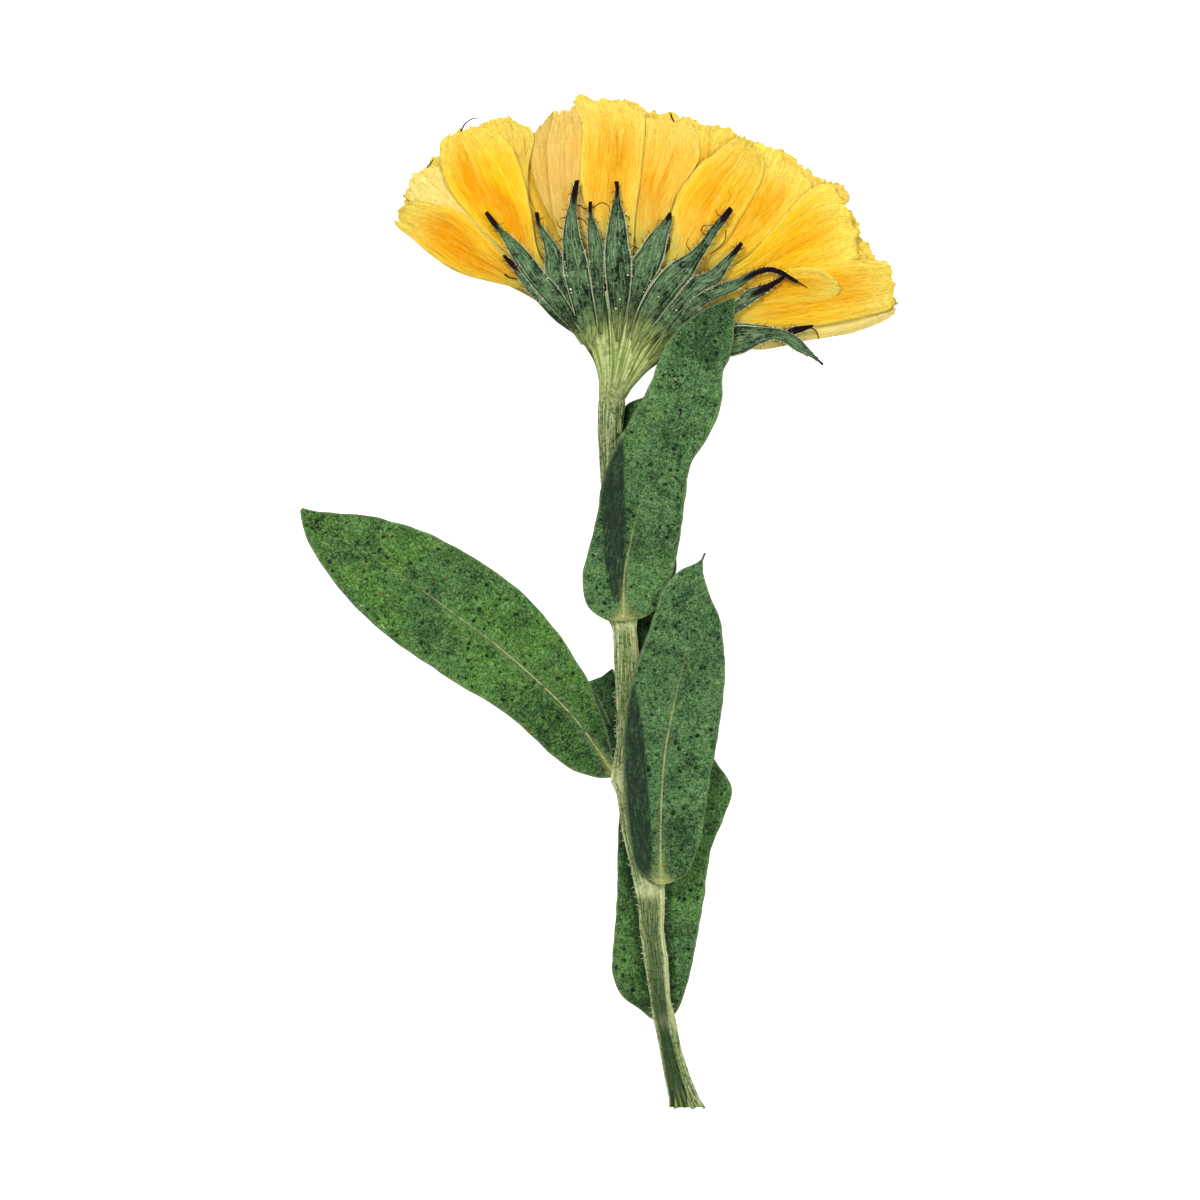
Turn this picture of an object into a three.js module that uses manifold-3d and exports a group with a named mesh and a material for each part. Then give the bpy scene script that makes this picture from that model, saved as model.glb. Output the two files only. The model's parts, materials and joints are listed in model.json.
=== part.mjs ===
// Pressed pot marigold stem: a cut flowering stem with five leaves, pressed flat and lying on its back.
// Millimetres. X runs to the right, Y from the cut end towards the flower, Z up from the surface below.

import * as THREE from 'three';
import { mergeVertices } from 'three/addons/utils/BufferGeometryUtils.js';
import Module from 'manifold-3d';

const wasm = await Module();
wasm.setup();

// Thicknesses and clearances
const PETAL_SHEET = 0.6;
const BRACT_SHEET = 0.6;
const LEAF_SHEET = 0.65;
const SEAT_GAP = 0.3;
const WELD = 1e-5;

// The head: petals and bracts fan round its heart, in front of it and behind it
const HEART = new THREE.Vector2(3.0, 30.6);
const CUP_RIM = 6.75;
const ROOT_RING = 8.2;
const ROOT_RING_HALF = 1.1;
const ROOT_RING_CHAMFER = 0.35;
const RING_ARC = [156, -2];
const RING_STEPS = 24;
const CUP_ARC = [157, 4];

// Petal layers, counted up from the surface: 0 and 1 are behind the middle of the head, 2 to 4 in front
const LAYER_STEP = 0.7;
const FIRST_FRONT_LAYER = 2;
const TOP_LAYER = 4;
const PETAL_FLOOR = [[24, 1.2], [29.5, 0.15]];
const MIDDLE_ROOM = [[14, 1.2], [24, 0]];

// Petals: tip x, tip y, widest, bow to the right-hand side, layer
const PETALS = [
  [-24.6, 46.2, 6.4, 1.1, 4],
  [-17.2, 56.4, 8.4, 0.2, 4],
  [1.4, 60.3, 7.6, 0, 4],
  [18.3, 55.2, 7.8, -0.3, 4],
  [30.9, 47.8, 8.6, -0.2, 4],
  [36.0, 38.2, 6.4, 0.3, 4],
  [-23.6, 49.7, 6.6, 0.9, 3],
  [-11.4, 58.3, 6.4, 0.2, 3],
  [-3.6, 60.6, 6.0, 0, 3],
  [7.5, 58.7, 8.2, 0, 3],
  [22.8, 53.2, 7.6, -0.3, 3],
  [31.9, 43.4, 7.2, 0, 3],
  [35.0, 35.4, 4.9, 0.4, 3],
  [-23.8, 47.1, 5.6, 1.2, 2],
  [-19.0, 54.0, 6.4, 0.3, 2],
  [-7.0, 57.0, 6.8, 0, 2],
  [2.7, 59.5, 7.2, 0, 2],
  [13.9, 57.6, 7.2, 0, 2],
  [20.9, 53.8, 6.4, 0, 2],
  [29.3, 50.3, 6.2, 0, 2],
  [32.2, 40.6, 6.6, 0, 2],
  [-22.8, 47.0, 6.0, 1.2, 1],
  [-17.6, 54.4, 7.2, 0.3, 1],
  [-7.6, 55.9, 7.0, 0, 1],
  [1.4, 60.1, 7.0, 0, 1],
  [10.3, 58.0, 7.2, 0, 1],
  [18.7, 54.7, 7.0, 0, 1],
  [27.0, 50.2, 6.8, 0, 1],
  [32.2, 42.4, 7.2, 0.2, 1],
  [-21.5, 50.4, 7.0, 0.5, 0],
  [-13.7, 57.2, 7.4, 0.2, 0],
  [-3.5, 58.7, 7.0, 0, 0],
  [6.0, 59.0, 7.2, 0, 0],
  [14.6, 56.6, 7.2, 0, 0],
  [23.3, 53.0, 7.4, 0, 0],
  [30.0, 46.8, 7.4, 0, 0],
  [34.3, 37.8, 6.8, 0.3, 0],
];
// These two petals of the lowest layer reach the surface: with a leaf's flat spot they carry the head
const RESTING_PETALS = [29, 36];
const RESTING_DROP = [[26, 0], [29.2, 0.15]];
const PETAL_ROOT_WIDTH = 1.5;
const PETAL_STATIONS = [0, 0.2, 0.42, 0.64, 0.84, 1];
const PETAL_OUTLINE = [[0, 0], [0.2, 0.34], [0.42, 0.8], [0.64, 1], [0.84, 0.96], [1, 0.72]];
const PETAL_TEETH = [0.75, 0.95, 0, 0.85, 0.65];
const ROOT_SPREAD = 1.3;
const HEAD_LEAN = 83;
const ROOT_LIMITS = [4, 152];

// Bracts in front: tip x, tip y, widest, bow, place along the cup from left to right,
// and 1 where it is raised above its neighbours
const FRONT_BRACTS = [
  [-11.6, 41.2, 3.3, -0.3, 0.05, 0],
  [-13.7, 46.3, 3.3, 0.9, 0.12, 1],
  [-7.7, 46.4, 2.8, 0.6, 0.22, 0],
  [-2.9, 50.4, 3.2, 0.3, 0.32, 1],
  [-1.3, 47.7, 2.6, 0, 0.4, 0],
  [1.9, 50.1, 3.3, 0, 0.48, 1],
  [8.3, 46.4, 2.9, -0.5, 0.57, 0],
  [15.7, 46.9, 3.2, -0.9, 0.66, 1],
  [16.9, 42.8, 2.8, -0.6, 0.74, 0],
  [24.7, 37.4, 1.8, -2.8, 0.79, 1],
  [22.0, 38.6, 3.0, -0.5, 0.82, 0],
  [25.0, 33.1, 2.6, 0.4, 0.88, 1],
  [26.8, 28.3, 3.4, -1.5, 0.92, 0],
];
// Bracts behind, in the same order
const BACK_BRACTS = [
  [-10.8, 40.6, 2.6, -0.1, 0.06, 0],
  [-11.9, 44.3, 2.9, 0.6, 0.1, 1],
  [-9.4, 46.9, 2.7, 0.5, 0.19, 0],
  [-4.7, 49.4, 3.1, 0.3, 0.28, 1],
  [-1.0, 48.2, 2.7, 0, 0.37, 0],
  [3.9, 50.3, 3.2, 0, 0.46, 1],
  [7.2, 47.7, 2.7, 0, 0.55, 0],
  [12.6, 48.1, 3.2, -0.5, 0.64, 1],
  [15.9, 45.0, 2.7, -0.5, 0.72, 0],
  [19.9, 42.7, 3.1, -0.6, 0.8, 1],
  [21.6, 38.2, 2.6, -0.3, 0.88, 0],
  [22.3, 29.9, 3.8, 0, 0.94, 0],
];
const BRACT_OUTLINE = [
  [0, 0.12], [0.16, 0.4], [0.3, 0.86], [0.46, 1], [0.62, 0.74], [0.8, 0.4], [0.92, 0.2], [1, 0.08],
];
const BRACT_ON_CUP = [0, 0.5, 0.9];
const BRACT_BEYOND = [0.12, 0.3, 0.5, 0.7, 0.87, 1];
const BRACT_OVERHANG = 0.2;
const BRACT_SINK = 0.35;
const BRACT_CUP_LIFT = 0.12;
const FRONT_BRACT_STEP = 0.4;
const BACK_BRACT_FLOOR = [0.3, 0.1];

// The cup: a swelling sheet of curves from the top of the stem to the rim
const CUP_FOOT = [new THREE.Vector2(-0.3, 24.0), new THREE.Vector2(3.1, 24.0)];
const CUP_WAIST = [new THREE.Vector2(0.6, 28.9), new THREE.Vector2(4.4, 27.3)];
const CUP_TOP = [[0, 3.25], [0.35, 3.9], [0.7, 5.5], [1, 6.6]];
const CUP_BOTTOM = [[0, 1.45], [0.35, 1.2], [0.7, 0.7], [1, 0.3]];
const CUP_SQUARENESS = 6;
const CUP_RIBS = 15;
const CUP_RIB_DEPTH = 0.12;
const CUP_ROWS = [0, 0.18, 0.36, 0.54, 0.7, 0.85, 1];
const CUP_EDGE = [0, 0.02, 0.07];
const CUP_EDGE_END = 0.09;
const CUP_PROBE = 0.05;

// The disc florets: short strips between the front and the back petals
const DISC_ARC = [132, 34];
const DISC_COUNT = 19;
const DISC_SHEET = 0.7;
const DISC_FOOT = 9.7;
const DISC_REACH = [13.4, 14.2];
const DISC_BAND = 1.3;
const DISC_BAND_INSET = 0.06;
const DISC_BAND_SHORT = 3;
const DISC_BAND_STEPS = 14;
// A floret's half-width at its foot, where it leaves the band, at its neck and at its open mouth
const FLORET_FOOT = { out: 0.4, half: 0.3 };
const FLORET_WAIST = { out: 1.4, half: 0.28 };
const FLORET_NECK = { back: 0.7, half: 0.24 };
const FLORET_MOUTH = { back: 0, half: 0.42 };

// The stem: y, left edge, right edge, underside, thickness, from the head down to the cut end
const STEM_STATIONS = [
  [23.7, -0.3, 3.1, 1.45, 1.8],
  [20.4, -0.4, 2.7, 1.45, 1.8],
  [14.4, 0.0, 2.7, 1.45, 1.8],
  [6.0, 0.6, 3.5, 1.45, 1.8],
  [0.6, 0.9, 4.2, 1.45, 1.8],
  [-1.2, 0.9, 4.6, 1.45, 1.8],
  [-3.6, 1.5, 4.4, 1.45, 1.8],
  [-7.0, 1.6, 4.8, 1.45, 1.8],
  [-10.8, 1.8, 4.9, 1.45, 1.8],
  [-17.3, 1.9, 5.2, 1.45, 1.8],
  [-19.8, 1.4, 5.5, 1.45, 1.8],
  [-21.9, 1.2, 5.6, 1.45, 1.8],
  [-23.2, 1.9, 5.7, 1.45, 1.8],
  [-27.6, 2.5, 6.1, 1.45, 1.8],
  [-31.2, 3.4, 6.7, 1.45, 1.8],
  [-34.2, 4.0, 7.8, 1.4, 1.85],
  [-36.6, 4.5, 7.8, 1.4, 1.8],
  [-39.6, 4.7, 7.7, 1.35, 1.8],
  [-43.2, 5.2, 8.2, 1.35, 1.8],
  [-48.0, 6.0, 8.5, 1.35, 1.75],
  [-50.2, 6.3, 9.1, 1.35, 1.8],
  [-54.0, 7.1, 9.8, 0.85, 1.8],
  [-57.6, 7.7, 11.0, 0.45, 1.8],
  [-60.0, 8.2, 12.0, 0.25, 1.8],
  [-61.0, 8.2, 12.7, 0.2, 1.8],
];
const STEM_SIDES = 16;
const STEM_RIBS = 8;
const STEM_RIB_DEPTH = 0.05;

// Leaves: outlines from the base to the tip, and the height of the underside
const LEAF_ROWS = 14;
const LEAF_COLUMNS = 6;
const RIB_HEIGHT = 0.12;
const LOBE_ROWS = 6;
const LOBE_SHEET = 0.6;

const LEAF_LEFT = {
  left: [
    [2.2, -21.4], [-0.7, -21.3], [-3.6, -20.3], [-11.4, -13.6], [-19.2, -8.8], [-28.4, -1.9],
    [-34.6, 6.0], [-35.9, 9.4], [-36.1, 10.7],
  ],
  rib: [
    [2.3, -20.8], [1.6, -20.6], [0, -18.4], [-3.6, -13.6], [-12.0, -5.8], [-16.8, -2.2],
    [-24.0, 3.0], [-28.8, 6.0], [-36.0, 10.9],
  ],
  right: [
    [2.4, -20.2], [1.9, -17.6], [1.2, -14.6], [0.3, -12.6], [-1.4, -9.8], [-5.0, -4.0],
    [-10.2, 1.6], [-19.2, 7.3], [-27.0, 10.0], [-33.6, 10.6], [-35.8, 11.1],
  ],
};
const LEAF_LEFT_LOBE = {
  left: [
    [1.5, -19.4], [0.4, -15.0], [-0.8, -12.0], [-1.4, -9.8],
  ],
  rib: [
    [2.5, -19.4], [2.0, -15.0], [1.2, -12.0], [0.2, -9.2],
  ],
  right: [
    [3.4, -19.4], [3.4, -15.0], [2.9, -11.4], [1.5, -8.2],
  ],
};
const LEAF_UPPER_FRONT = {
  left: [
    [1.4, -2.6], [0.3, -2.2], [-0.9, -1.4], [-1.7, -0.3], [-2.1, 2.6], [-1.2, 6.6], [0.0, 12.0],
    [0.3, 14.4], [1.8, 18.2], [5.1, 24.0], [6.2, 26.4], [6.7, 27.7], [7.8, 30.2], [9.4, 32.5],
    [12.1, 34.5], [15.6, 36.0],
  ],
  rib: [
    [2.8, -2.5], [3.0, 3.6], [4.6, 10.8], [6.0, 15.0], [8.6, 21.0], [10.6, 26.4], [12.4, 30.6],
    [15.9, 36.1],
  ],
  right: [
    [4.4, -2.3], [5.4, -2.0], [6.7, -1.1], [7.8, 0.8], [9.0, 4.4], [9.9, 9.4], [10.3, 13.2],
    [11.0, 16.6], [12.3, 18.4], [14.0, 21.8], [14.6, 24.0], [14.7, 27.2], [15.5, 28.9],
    [16.1, 34.2], [16.2, 36.0],
  ],
};
const LEAF_UPPER_BACK = {
  left: [
    [1.9, -4.6], [0.6, -1.0], [-0.4, 3.0], [-0.2, 7.0], [0.6, 12.0], [0.8, 17.4], [1.8, 21.6],
    [3.4, 23.6], [7.0, 25.0],
  ],
  rib: [
    [3.1, -4.6], [2.8, 1.2], [3.6, 6.6], [4.4, 12.0], [5.0, 17.4], [5.6, 22.0], [7.2, 25.1],
  ],
  right: [
    [4.7, -6.8], [6.2, -3.6], [7.6, -0.2], [9.1, 3.0], [9.2, 6.0], [9.9, 10.8], [9.9, 15.0],
    [9.6, 19.6], [8.8, 22.8], [7.4, 25.0],
  ],
};
const LEAF_MIDDLE = {
  left: [
    [6.6, -34.0], [4.4, -32.2], [3.4, -27.0], [2.8, -20.4], [2.9, -15.4], [3.7, -10.2], [5.6, -4.4],
    [6.9, -0.5], [8.0, 2.0], [9.7, 3.6], [11.4, 4.4], [12.1, 4.9], [12.4, 5.6],
  ],
  rib: [
    [7.3, -34.2], [7.3, -26.4], [7.7, -19.2], [8.6, -13.8], [10.2, -6.6], [11.4, -0.6], [12.5, 5.7],
  ],
  right: [
    [8.3, -34.0], [10.2, -33.0], [11.9, -29.4], [12.9, -23.4], [14.4, -14.4], [15.0, -9.0],
    [14.8, -5.4], [14.3, -2.0], [13.4, 0.0], [12.3, 3.5], [12.2, 4.9], [12.7, 5.6],
  ],
};
const LEAF_LOWER_BACK = {
  left: [
    [6.2, -50.4], [5.2, -49.6], [2.6, -47.6], [1.6, -45.4], [1.6, -41.4], [2.0, -37.0],
    [2.2, -28.0], [3.0, -22.0], [6.0, -18.6], [10.2, -16.8],
  ],
  rib: [
    [7.0, -50.6], [7.2, -45.6], [7.4, -38.4], [8.0, -30.0], [9.4, -22.8], [10.8, -16.7],
  ],
  right: [
    [8.0, -50.4], [9.2, -49.6], [10.5, -46.2], [12.2, -38.0], [13.4, -30.0], [14.8, -26.4],
    [15.9, -22.8], [14.2, -19.8], [11.4, -16.8],
  ],
};

// Undersides of the leaves: height over the way from base to tip, or over Y
const LEFT_RISE = [[0, 0.45], [0.2, 0.3], [0.75, 0.2], [1, 0.55]];
const LOBE_UNDERSIDE = 0.5;
const UPPER_BACK_UNDERSIDE = 0.45;
const UPPER_FRONT_RISE = [[-1.8, 3.55], [5, 3.75], [12, 4.6], [18, 5.9], [23, 7.0], [26, 7.4]];
const MIDDLE_RISE = [[-34, 3.55], [-20, 3.75], [-5, 4.35], [6, 4.8]];
const LOWER_BACK_RISE = [[-50.5, 0.35], [-47.5, 0.1], [-45.5, 0], [-25, 0], [-17, 0.35]];

// Waves along the leaves' edges: how high they lift and how many there are; a leaf's middle stays flat
const LEFT_WAVES = { lift: 0.5, count: 1.6 };
const FRONT_WAVES = { lift: 0.35, count: 1.9 };
const BACK_WAVES = { lift: 0.25, count: 1.7 };
const WAVE_FLAT = 1 / 3;
const WAVE_SHIFT = 1.2;

// A height read from a list of [place, height] pairs, straight between them and level beyond its ends
function follow(pairs, place) {
  if (place <= pairs[0][0]) {
    return pairs[0][1];
  }
  for (let i = 1; i < pairs.length; i += 1) {
    const [x0, y0] = pairs[i - 1];
    const [x1, y1] = pairs[i];
    if (place <= x1) {
      return y0 + ((y1 - y0) * (place - x0)) / (x1 - x0);
    }
  }
  return pairs[pairs.length - 1][1];
}

function fromHeart(x, y) {
  return Math.hypot(x - HEART.x, y - HEART.y);
}

function aroundHeart(degrees, radius) {
  const angle = THREE.MathUtils.degToRad(degrees);
  return new THREE.Vector2(HEART.x + radius * Math.cos(angle), HEART.y + radius * Math.sin(angle));
}

// Underside of a petal layer at a distance from the heart
function layerUnderside(layer, distance) {
  const room = layer >= FIRST_FRONT_LAYER ? follow(MIDDLE_ROOM, distance) : 0;
  return follow(PETAL_FLOOR, distance) + layer * LAYER_STEP + room;
}

function petalTop(distance) {
  return layerUnderside(TOP_LAYER, distance) + PETAL_SHEET;
}

function closedGeometry(positions, index) {
  const geometry = new THREE.BufferGeometry();
  geometry.setAttribute('position', new THREE.Float32BufferAttribute(positions, 3));
  geometry.setIndex(index);
  return geometry;
}

// A sheet over rows of underside points, which run from left to right seen along the blade from above.
// Its upper face is split into the same triangles as its lower face.
function sheetGeometry(rows, thickness) {
  const columns = rows[0].length;
  const count = rows.length * columns;
  const positions = [];
  for (const lift of [0, thickness]) {
    for (const [x, y, z] of rows.flat()) {
      positions.push(x, y, z + lift);
    }
  }
  const index = [];
  const at = (row, column) => row * columns + column;
  for (let row = 0; row + 1 < rows.length; row += 1) {
    for (let column = 0; column + 1 < columns; column += 1) {
      const a = at(row, column);
      const b = at(row, column + 1);
      const c = at(row + 1, column + 1);
      const d = at(row + 1, column);
      const split = column < columns / 2 - 0.5 ? [[a, b, d], [b, c, d]] : [[a, b, c], [a, c, d]];
      for (const [p, q, r] of split) {
        index.push(p + count, q + count, r + count);
        index.push(p, r, q);
      }
    }
  }
  const rim = [];
  for (let column = 0; column + 1 < columns; column += 1) {
    rim.push(at(0, column));
  }
  for (let row = 0; row + 1 < rows.length; row += 1) {
    rim.push(at(row, columns - 1));
  }
  for (let column = columns - 1; column > 0; column -= 1) {
    rim.push(at(rows.length - 1, column));
  }
  for (let row = rows.length - 1; row > 0; row -= 1) {
    rim.push(at(row, 0));
  }
  rim.forEach((p, i) => {
    const q = rim[(i + 1) % rim.length];
    index.push(p, q, q + count, p, q + count, p + count);
  });
  return closedGeometry(positions, index);
}

// A skin through rings of points, each ring anticlockwise seen from its far end, with flat ends
function ringsGeometry(rings) {
  const sides = rings[0].length;
  const positions = rings.flat(2);
  const index = [];
  for (let ring = 0; ring + 1 < rings.length; ring += 1) {
    for (let side = 0; side < sides; side += 1) {
      const next = (side + 1) % sides;
      const a = ring * sides + side;
      const b = ring * sides + next;
      index.push(a, b, b + sides, a, b + sides, a + sides);
    }
  }
  const last = (rings.length - 1) * sides;
  for (let side = 1; side + 1 < sides; side += 1) {
    index.push(0, side + 1, side);
    index.push(last, last + side, last + side + 1);
  }
  return closedGeometry(positions, index);
}

function toSolid(geometry) {
  const merged = mergeVertices(geometry, WELD);
  return new wasm.Manifold(new wasm.Mesh({
    numProp: 3,
    vertProperties: new Float32Array(merged.attributes.position.array),
    triVerts: new Uint32Array(merged.index.array),
  }));
}

// Several closed bodies joined in one
function fuse(geometries) {
  const joined = geometries.map(toSolid).reduce((sum, solid) => sum.add(solid));
  const mesh = joined.getMesh();
  return closedGeometry(Array.from(mesh.vertProperties), Array.from(mesh.triVerts));
}

// A centre line from root to tip, bowed to its right-hand side: its point, its direction and its right at t
function bowedLine(root, tip, bow) {
  const along = tip.clone().sub(root).normalize();
  const right = new THREE.Vector2(along.y, -along.x);
  const middle = root.clone().add(tip).multiplyScalar(0.5).addScaledVector(right, 2 * bow);
  const line = new THREE.QuadraticBezierCurve(root, middle, tip);
  return (t) => {
    const direction = line.getTangent(t);
    return { point: line.getPoint(t), along: direction, right: new THREE.Vector2(direction.y, -direction.x) };
  };
}

function petalGeometry([tipX, tipY, width, bow, layer], rests) {
  const tip = new THREE.Vector2(tipX, tipY);
  const tipAngle = THREE.MathUtils.radToDeg(Math.atan2(tipY - HEART.y, tipX - HEART.x));
  const spread = HEAD_LEAN + ROOT_SPREAD * (tipAngle - HEAD_LEAN);
  const root = aroundHeart(THREE.MathUtils.clamp(spread, ...ROOT_LIMITS), ROOT_RING);
  const line = bowedLine(root, tip, bow);
  const rows = PETAL_STATIONS.map((t) => {
    const { point, along, right } = line(t);
    const grown = follow(PETAL_OUTLINE, t);
    const half = (PETAL_ROOT_WIDTH + (width - PETAL_ROOT_WIDTH) * grown) / 2;
    return PETAL_TEETH.map((notch, column) => {
      const side = (2 * column) / (PETAL_TEETH.length - 1) - 1;
      const back = t === 1 ? notch : 0;
      const x = point.x + right.x * side * half - along.x * back;
      const y = point.y + right.y * side * half - along.y * back;
      const distance = fromHeart(x, y);
      const drop = rests ? follow(RESTING_DROP, distance) : 0;
      return [x, y, layerUnderside(layer, distance) - drop];
    });
  });
  return sheetGeometry(rows, PETAL_SHEET);
}

// The band in which all petals root
function rootRingGeometry() {
  const low = layerUnderside(0, 0);
  const high = petalTop(0);
  const rings = [];
  for (let i = 0; i <= RING_STEPS; i += 1) {
    const degrees = THREE.MathUtils.lerp(RING_ARC[0], RING_ARC[1], i / RING_STEPS);
    const inner = aroundHeart(degrees, ROOT_RING - ROOT_RING_HALF);
    const outer = aroundHeart(degrees, ROOT_RING + ROOT_RING_HALF);
    const middle = inner.clone().lerp(outer, 0.5);
    rings.push([
      [middle.x, middle.y, low],
      [outer.x, outer.y, low + ROOT_RING_CHAMFER],
      [outer.x, outer.y, high - ROOT_RING_CHAMFER],
      [middle.x, middle.y, high],
      [inner.x, inner.y, high - ROOT_RING_CHAMFER],
      [inner.x, inner.y, low + ROOT_RING_CHAMFER],
    ]);
  }
  return ringsGeometry(rings);
}

// A point of the cup: across 0 to 1 from left to right, up 0 to 1 from the stem to the rim
function cupPoint(across, up) {
  const foot = CUP_FOOT[0].clone().lerp(CUP_FOOT[1], across);
  const waist = CUP_WAIST[0].clone().lerp(CUP_WAIST[1], across);
  const rim = aroundHeart(THREE.MathUtils.lerp(CUP_ARC[0], CUP_ARC[1], across), CUP_RIM);
  return new THREE.QuadraticBezierCurve(foot, waist, rim).getPoint(up);
}

// Lowest and highest point of the cup's rounded section at a place
function cupHeights(across, up) {
  const top = follow(CUP_TOP, up);
  const bottom = follow(CUP_BOTTOM, up);
  const middle = (top + bottom) / 2;
  const side = Math.abs(2 * across - 1);
  const ribs = CUP_RIB_DEPTH * up * Math.abs(Math.sin(Math.PI * CUP_RIBS * across));
  const half = (top - middle - ribs) * (1 - side ** CUP_SQUARENESS) ** (1 / CUP_SQUARENESS);
  return [middle - half, middle + half];
}

function cupGeometry() {
  const inside = [];
  for (let i = 1; i < 2 * CUP_RIBS; i += 1) {
    inside.push(i / (2 * CUP_RIBS));
  }
  const across = [
    ...CUP_EDGE,
    ...inside.filter((place) => place > CUP_EDGE_END && place < 1 - CUP_EDGE_END),
    ...CUP_EDGE.map((place) => 1 - place).reverse(),
  ];
  const rings = CUP_ROWS.map((up) => {
    const upper = across.map((place) => {
      const point = cupPoint(place, up);
      return [point.x, point.y, cupHeights(place, up)[1]];
    });
    const lower = across.slice(1, -1).reverse().map((place) => {
      const point = cupPoint(place, up);
      return [point.x, point.y, cupHeights(place, up)[0]];
    });
    return [...upper, ...lower];
  });
  return ringsGeometry(rings);
}

// A bract: sunk into the cup along its lower part, then free over or under the petals to its tip
function bractGeometry([tipX, tipY, width, bow, across, raised], front) {
  const rim = cupPoint(across, 1);
  const start = rim.clone().addScaledVector(rim.clone().sub(HEART).normalize(), BRACT_OVERHANG);
  const line = bowedLine(start, new THREE.Vector2(tipX, tipY), bow);
  const onCup = BRACT_ON_CUP.map((up) => {
    const point = cupPoint(across, up);
    const along = cupPoint(across, up + CUP_PROBE).sub(point).normalize();
    const [low, high] = cupHeights(across, up);
    const lift = raised * BRACT_CUP_LIFT;
    const height = front ? high - BRACT_SINK + lift : low + BRACT_SINK - BRACT_SHEET - lift;
    return { point, right: new THREE.Vector2(along.y, -along.x), height };
  });
  const beyond = BRACT_BEYOND.map((t) => line(t));
  const spine = [...onCup, ...beyond];
  const lengths = spine.map((_, i) => (i === 0 ? 0 : spine[i].point.distanceTo(spine[i - 1].point)));
  const total = lengths.reduce((sum, part) => sum + part, 0);
  let run = 0;
  const rows = spine.map(({ point, right, height }, i) => {
    run += lengths[i];
    const half = (width / 2) * follow(BRACT_OUTLINE, run / total);
    return [-1, 0, 1].map((side) => {
      const x = point.x + right.x * side * half;
      const y = point.y + right.y * side * half;
      const free = front
        ? petalTop(fromHeart(x, y)) + SEAT_GAP + raised * FRONT_BRACT_STEP
        : BACK_BRACT_FLOOR[raised];
      return [x, y, height ?? free];
    });
  });
  return sheetGeometry(rows, BRACT_SHEET);
}

// One short tube floret, pressed to a strip that widens at its mouth
function floretGeometry(degrees, reach, underside) {
  const along = aroundHeart(degrees, 1).sub(HEART);
  const right = new THREE.Vector2(along.y, -along.x);
  const stations = [
    [DISC_FOOT + FLORET_FOOT.out, FLORET_FOOT.half],
    [DISC_FOOT + FLORET_WAIST.out, FLORET_WAIST.half],
    [reach - FLORET_NECK.back, FLORET_NECK.half],
    [reach - FLORET_MOUTH.back, FLORET_MOUTH.half],
  ];
  const rows = stations.map(([radius, half]) => [-1, 1].map((side) => {
    const place = HEART.clone().addScaledVector(along, radius).addScaledVector(right, side * half);
    return [place.x, place.y, underside];
  }));
  return sheetGeometry(rows, DISC_SHEET);
}

function discGeometry() {
  const underside = layerUnderside(FIRST_FRONT_LAYER - 1, 0) + PETAL_SHEET + SEAT_GAP;
  const florets = [];
  for (let i = 0; i < DISC_COUNT; i += 1) {
    const degrees = THREE.MathUtils.lerp(DISC_ARC[0], DISC_ARC[1], i / (DISC_COUNT - 1));
    florets.push(floretGeometry(degrees, DISC_REACH[i % DISC_REACH.length], underside));
  }
  const bandArc = [DISC_ARC[0] + DISC_BAND_SHORT, DISC_ARC[1] - DISC_BAND_SHORT];
  const low = underside + DISC_BAND_INSET;
  const high = underside + DISC_SHEET - DISC_BAND_INSET;
  const band = [];
  for (let i = 0; i <= DISC_BAND_STEPS; i += 1) {
    const degrees = THREE.MathUtils.lerp(bandArc[0], bandArc[1], i / DISC_BAND_STEPS);
    const inner = aroundHeart(degrees, DISC_FOOT);
    const outer = aroundHeart(degrees, DISC_FOOT + DISC_BAND);
    band.push([
      [outer.x, outer.y, low],
      [outer.x, outer.y, high],
      [inner.x, inner.y, high],
      [inner.x, inner.y, low],
    ]);
  }
  return fuse([ringsGeometry(band), ...florets]);
}

function stemGeometry() {
  const rings = STEM_STATIONS.map(([y, left, right, underside, thickness]) => {
    const ring = [];
    for (let side = 0; side < STEM_SIDES; side += 1) {
      const angle = (2 * Math.PI * side) / STEM_SIDES;
      const rib = 1 - STEM_RIB_DEPTH * (1 - Math.cos(STEM_RIBS * angle));
      const x = (left + right) / 2 + ((right - left) / 2) * Math.cos(angle) * rib;
      const z = underside + (thickness / 2) * (1 + Math.sin(angle) * rib);
      ring.push([x, y, z]);
    }
    return ring;
  });
  return ringsGeometry(rings);
}

function spline(points) {
  return new THREE.CatmullRomCurve3(points.map(([x, y]) => new THREE.Vector3(x, y, 0)), false, 'centripetal');
}

// Lift of a leaf's edge above its flat middle: u from -1 at the left to 1 at the right, t from base to tip
function edgeWave({ lift, count }, u, t) {
  const outwards = Math.max(0, Math.abs(u) - WAVE_FLAT) / (1 - WAVE_FLAT);
  const swing = (1 + Math.sin(2 * Math.PI * count * t + WAVE_SHIFT * Math.sign(u))) / 2;
  return lift * outwards * outwards * swing * Math.sin(Math.PI * t);
}

// A leaf between its two edges and its rib; underside(y, u, t) gives its height
function leafGeometry({ left, rib, right }, underside, lines = LEAF_ROWS, thickness = LEAF_SHEET) {
  const [leftEdge, ribLine, rightEdge] = [left, rib, right].map(spline);
  const rows = [];
  for (let i = 0; i <= lines; i += 1) {
    const t = i / lines;
    const [a, m, b] = [leftEdge, ribLine, rightEdge].map((curve) => curve.getPointAt(t));
    const row = [];
    for (let column = 0; column <= LEAF_COLUMNS; column += 1) {
      const u = (2 * column) / LEAF_COLUMNS - 1;
      const point = m.clone().lerp(u < 0 ? a : b, Math.abs(u));
      row.push([point.x, point.y, underside(point.y, u, t)]);
    }
    rows.push(row);
  }
  return sheetGeometry(rows, thickness);
}

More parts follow.
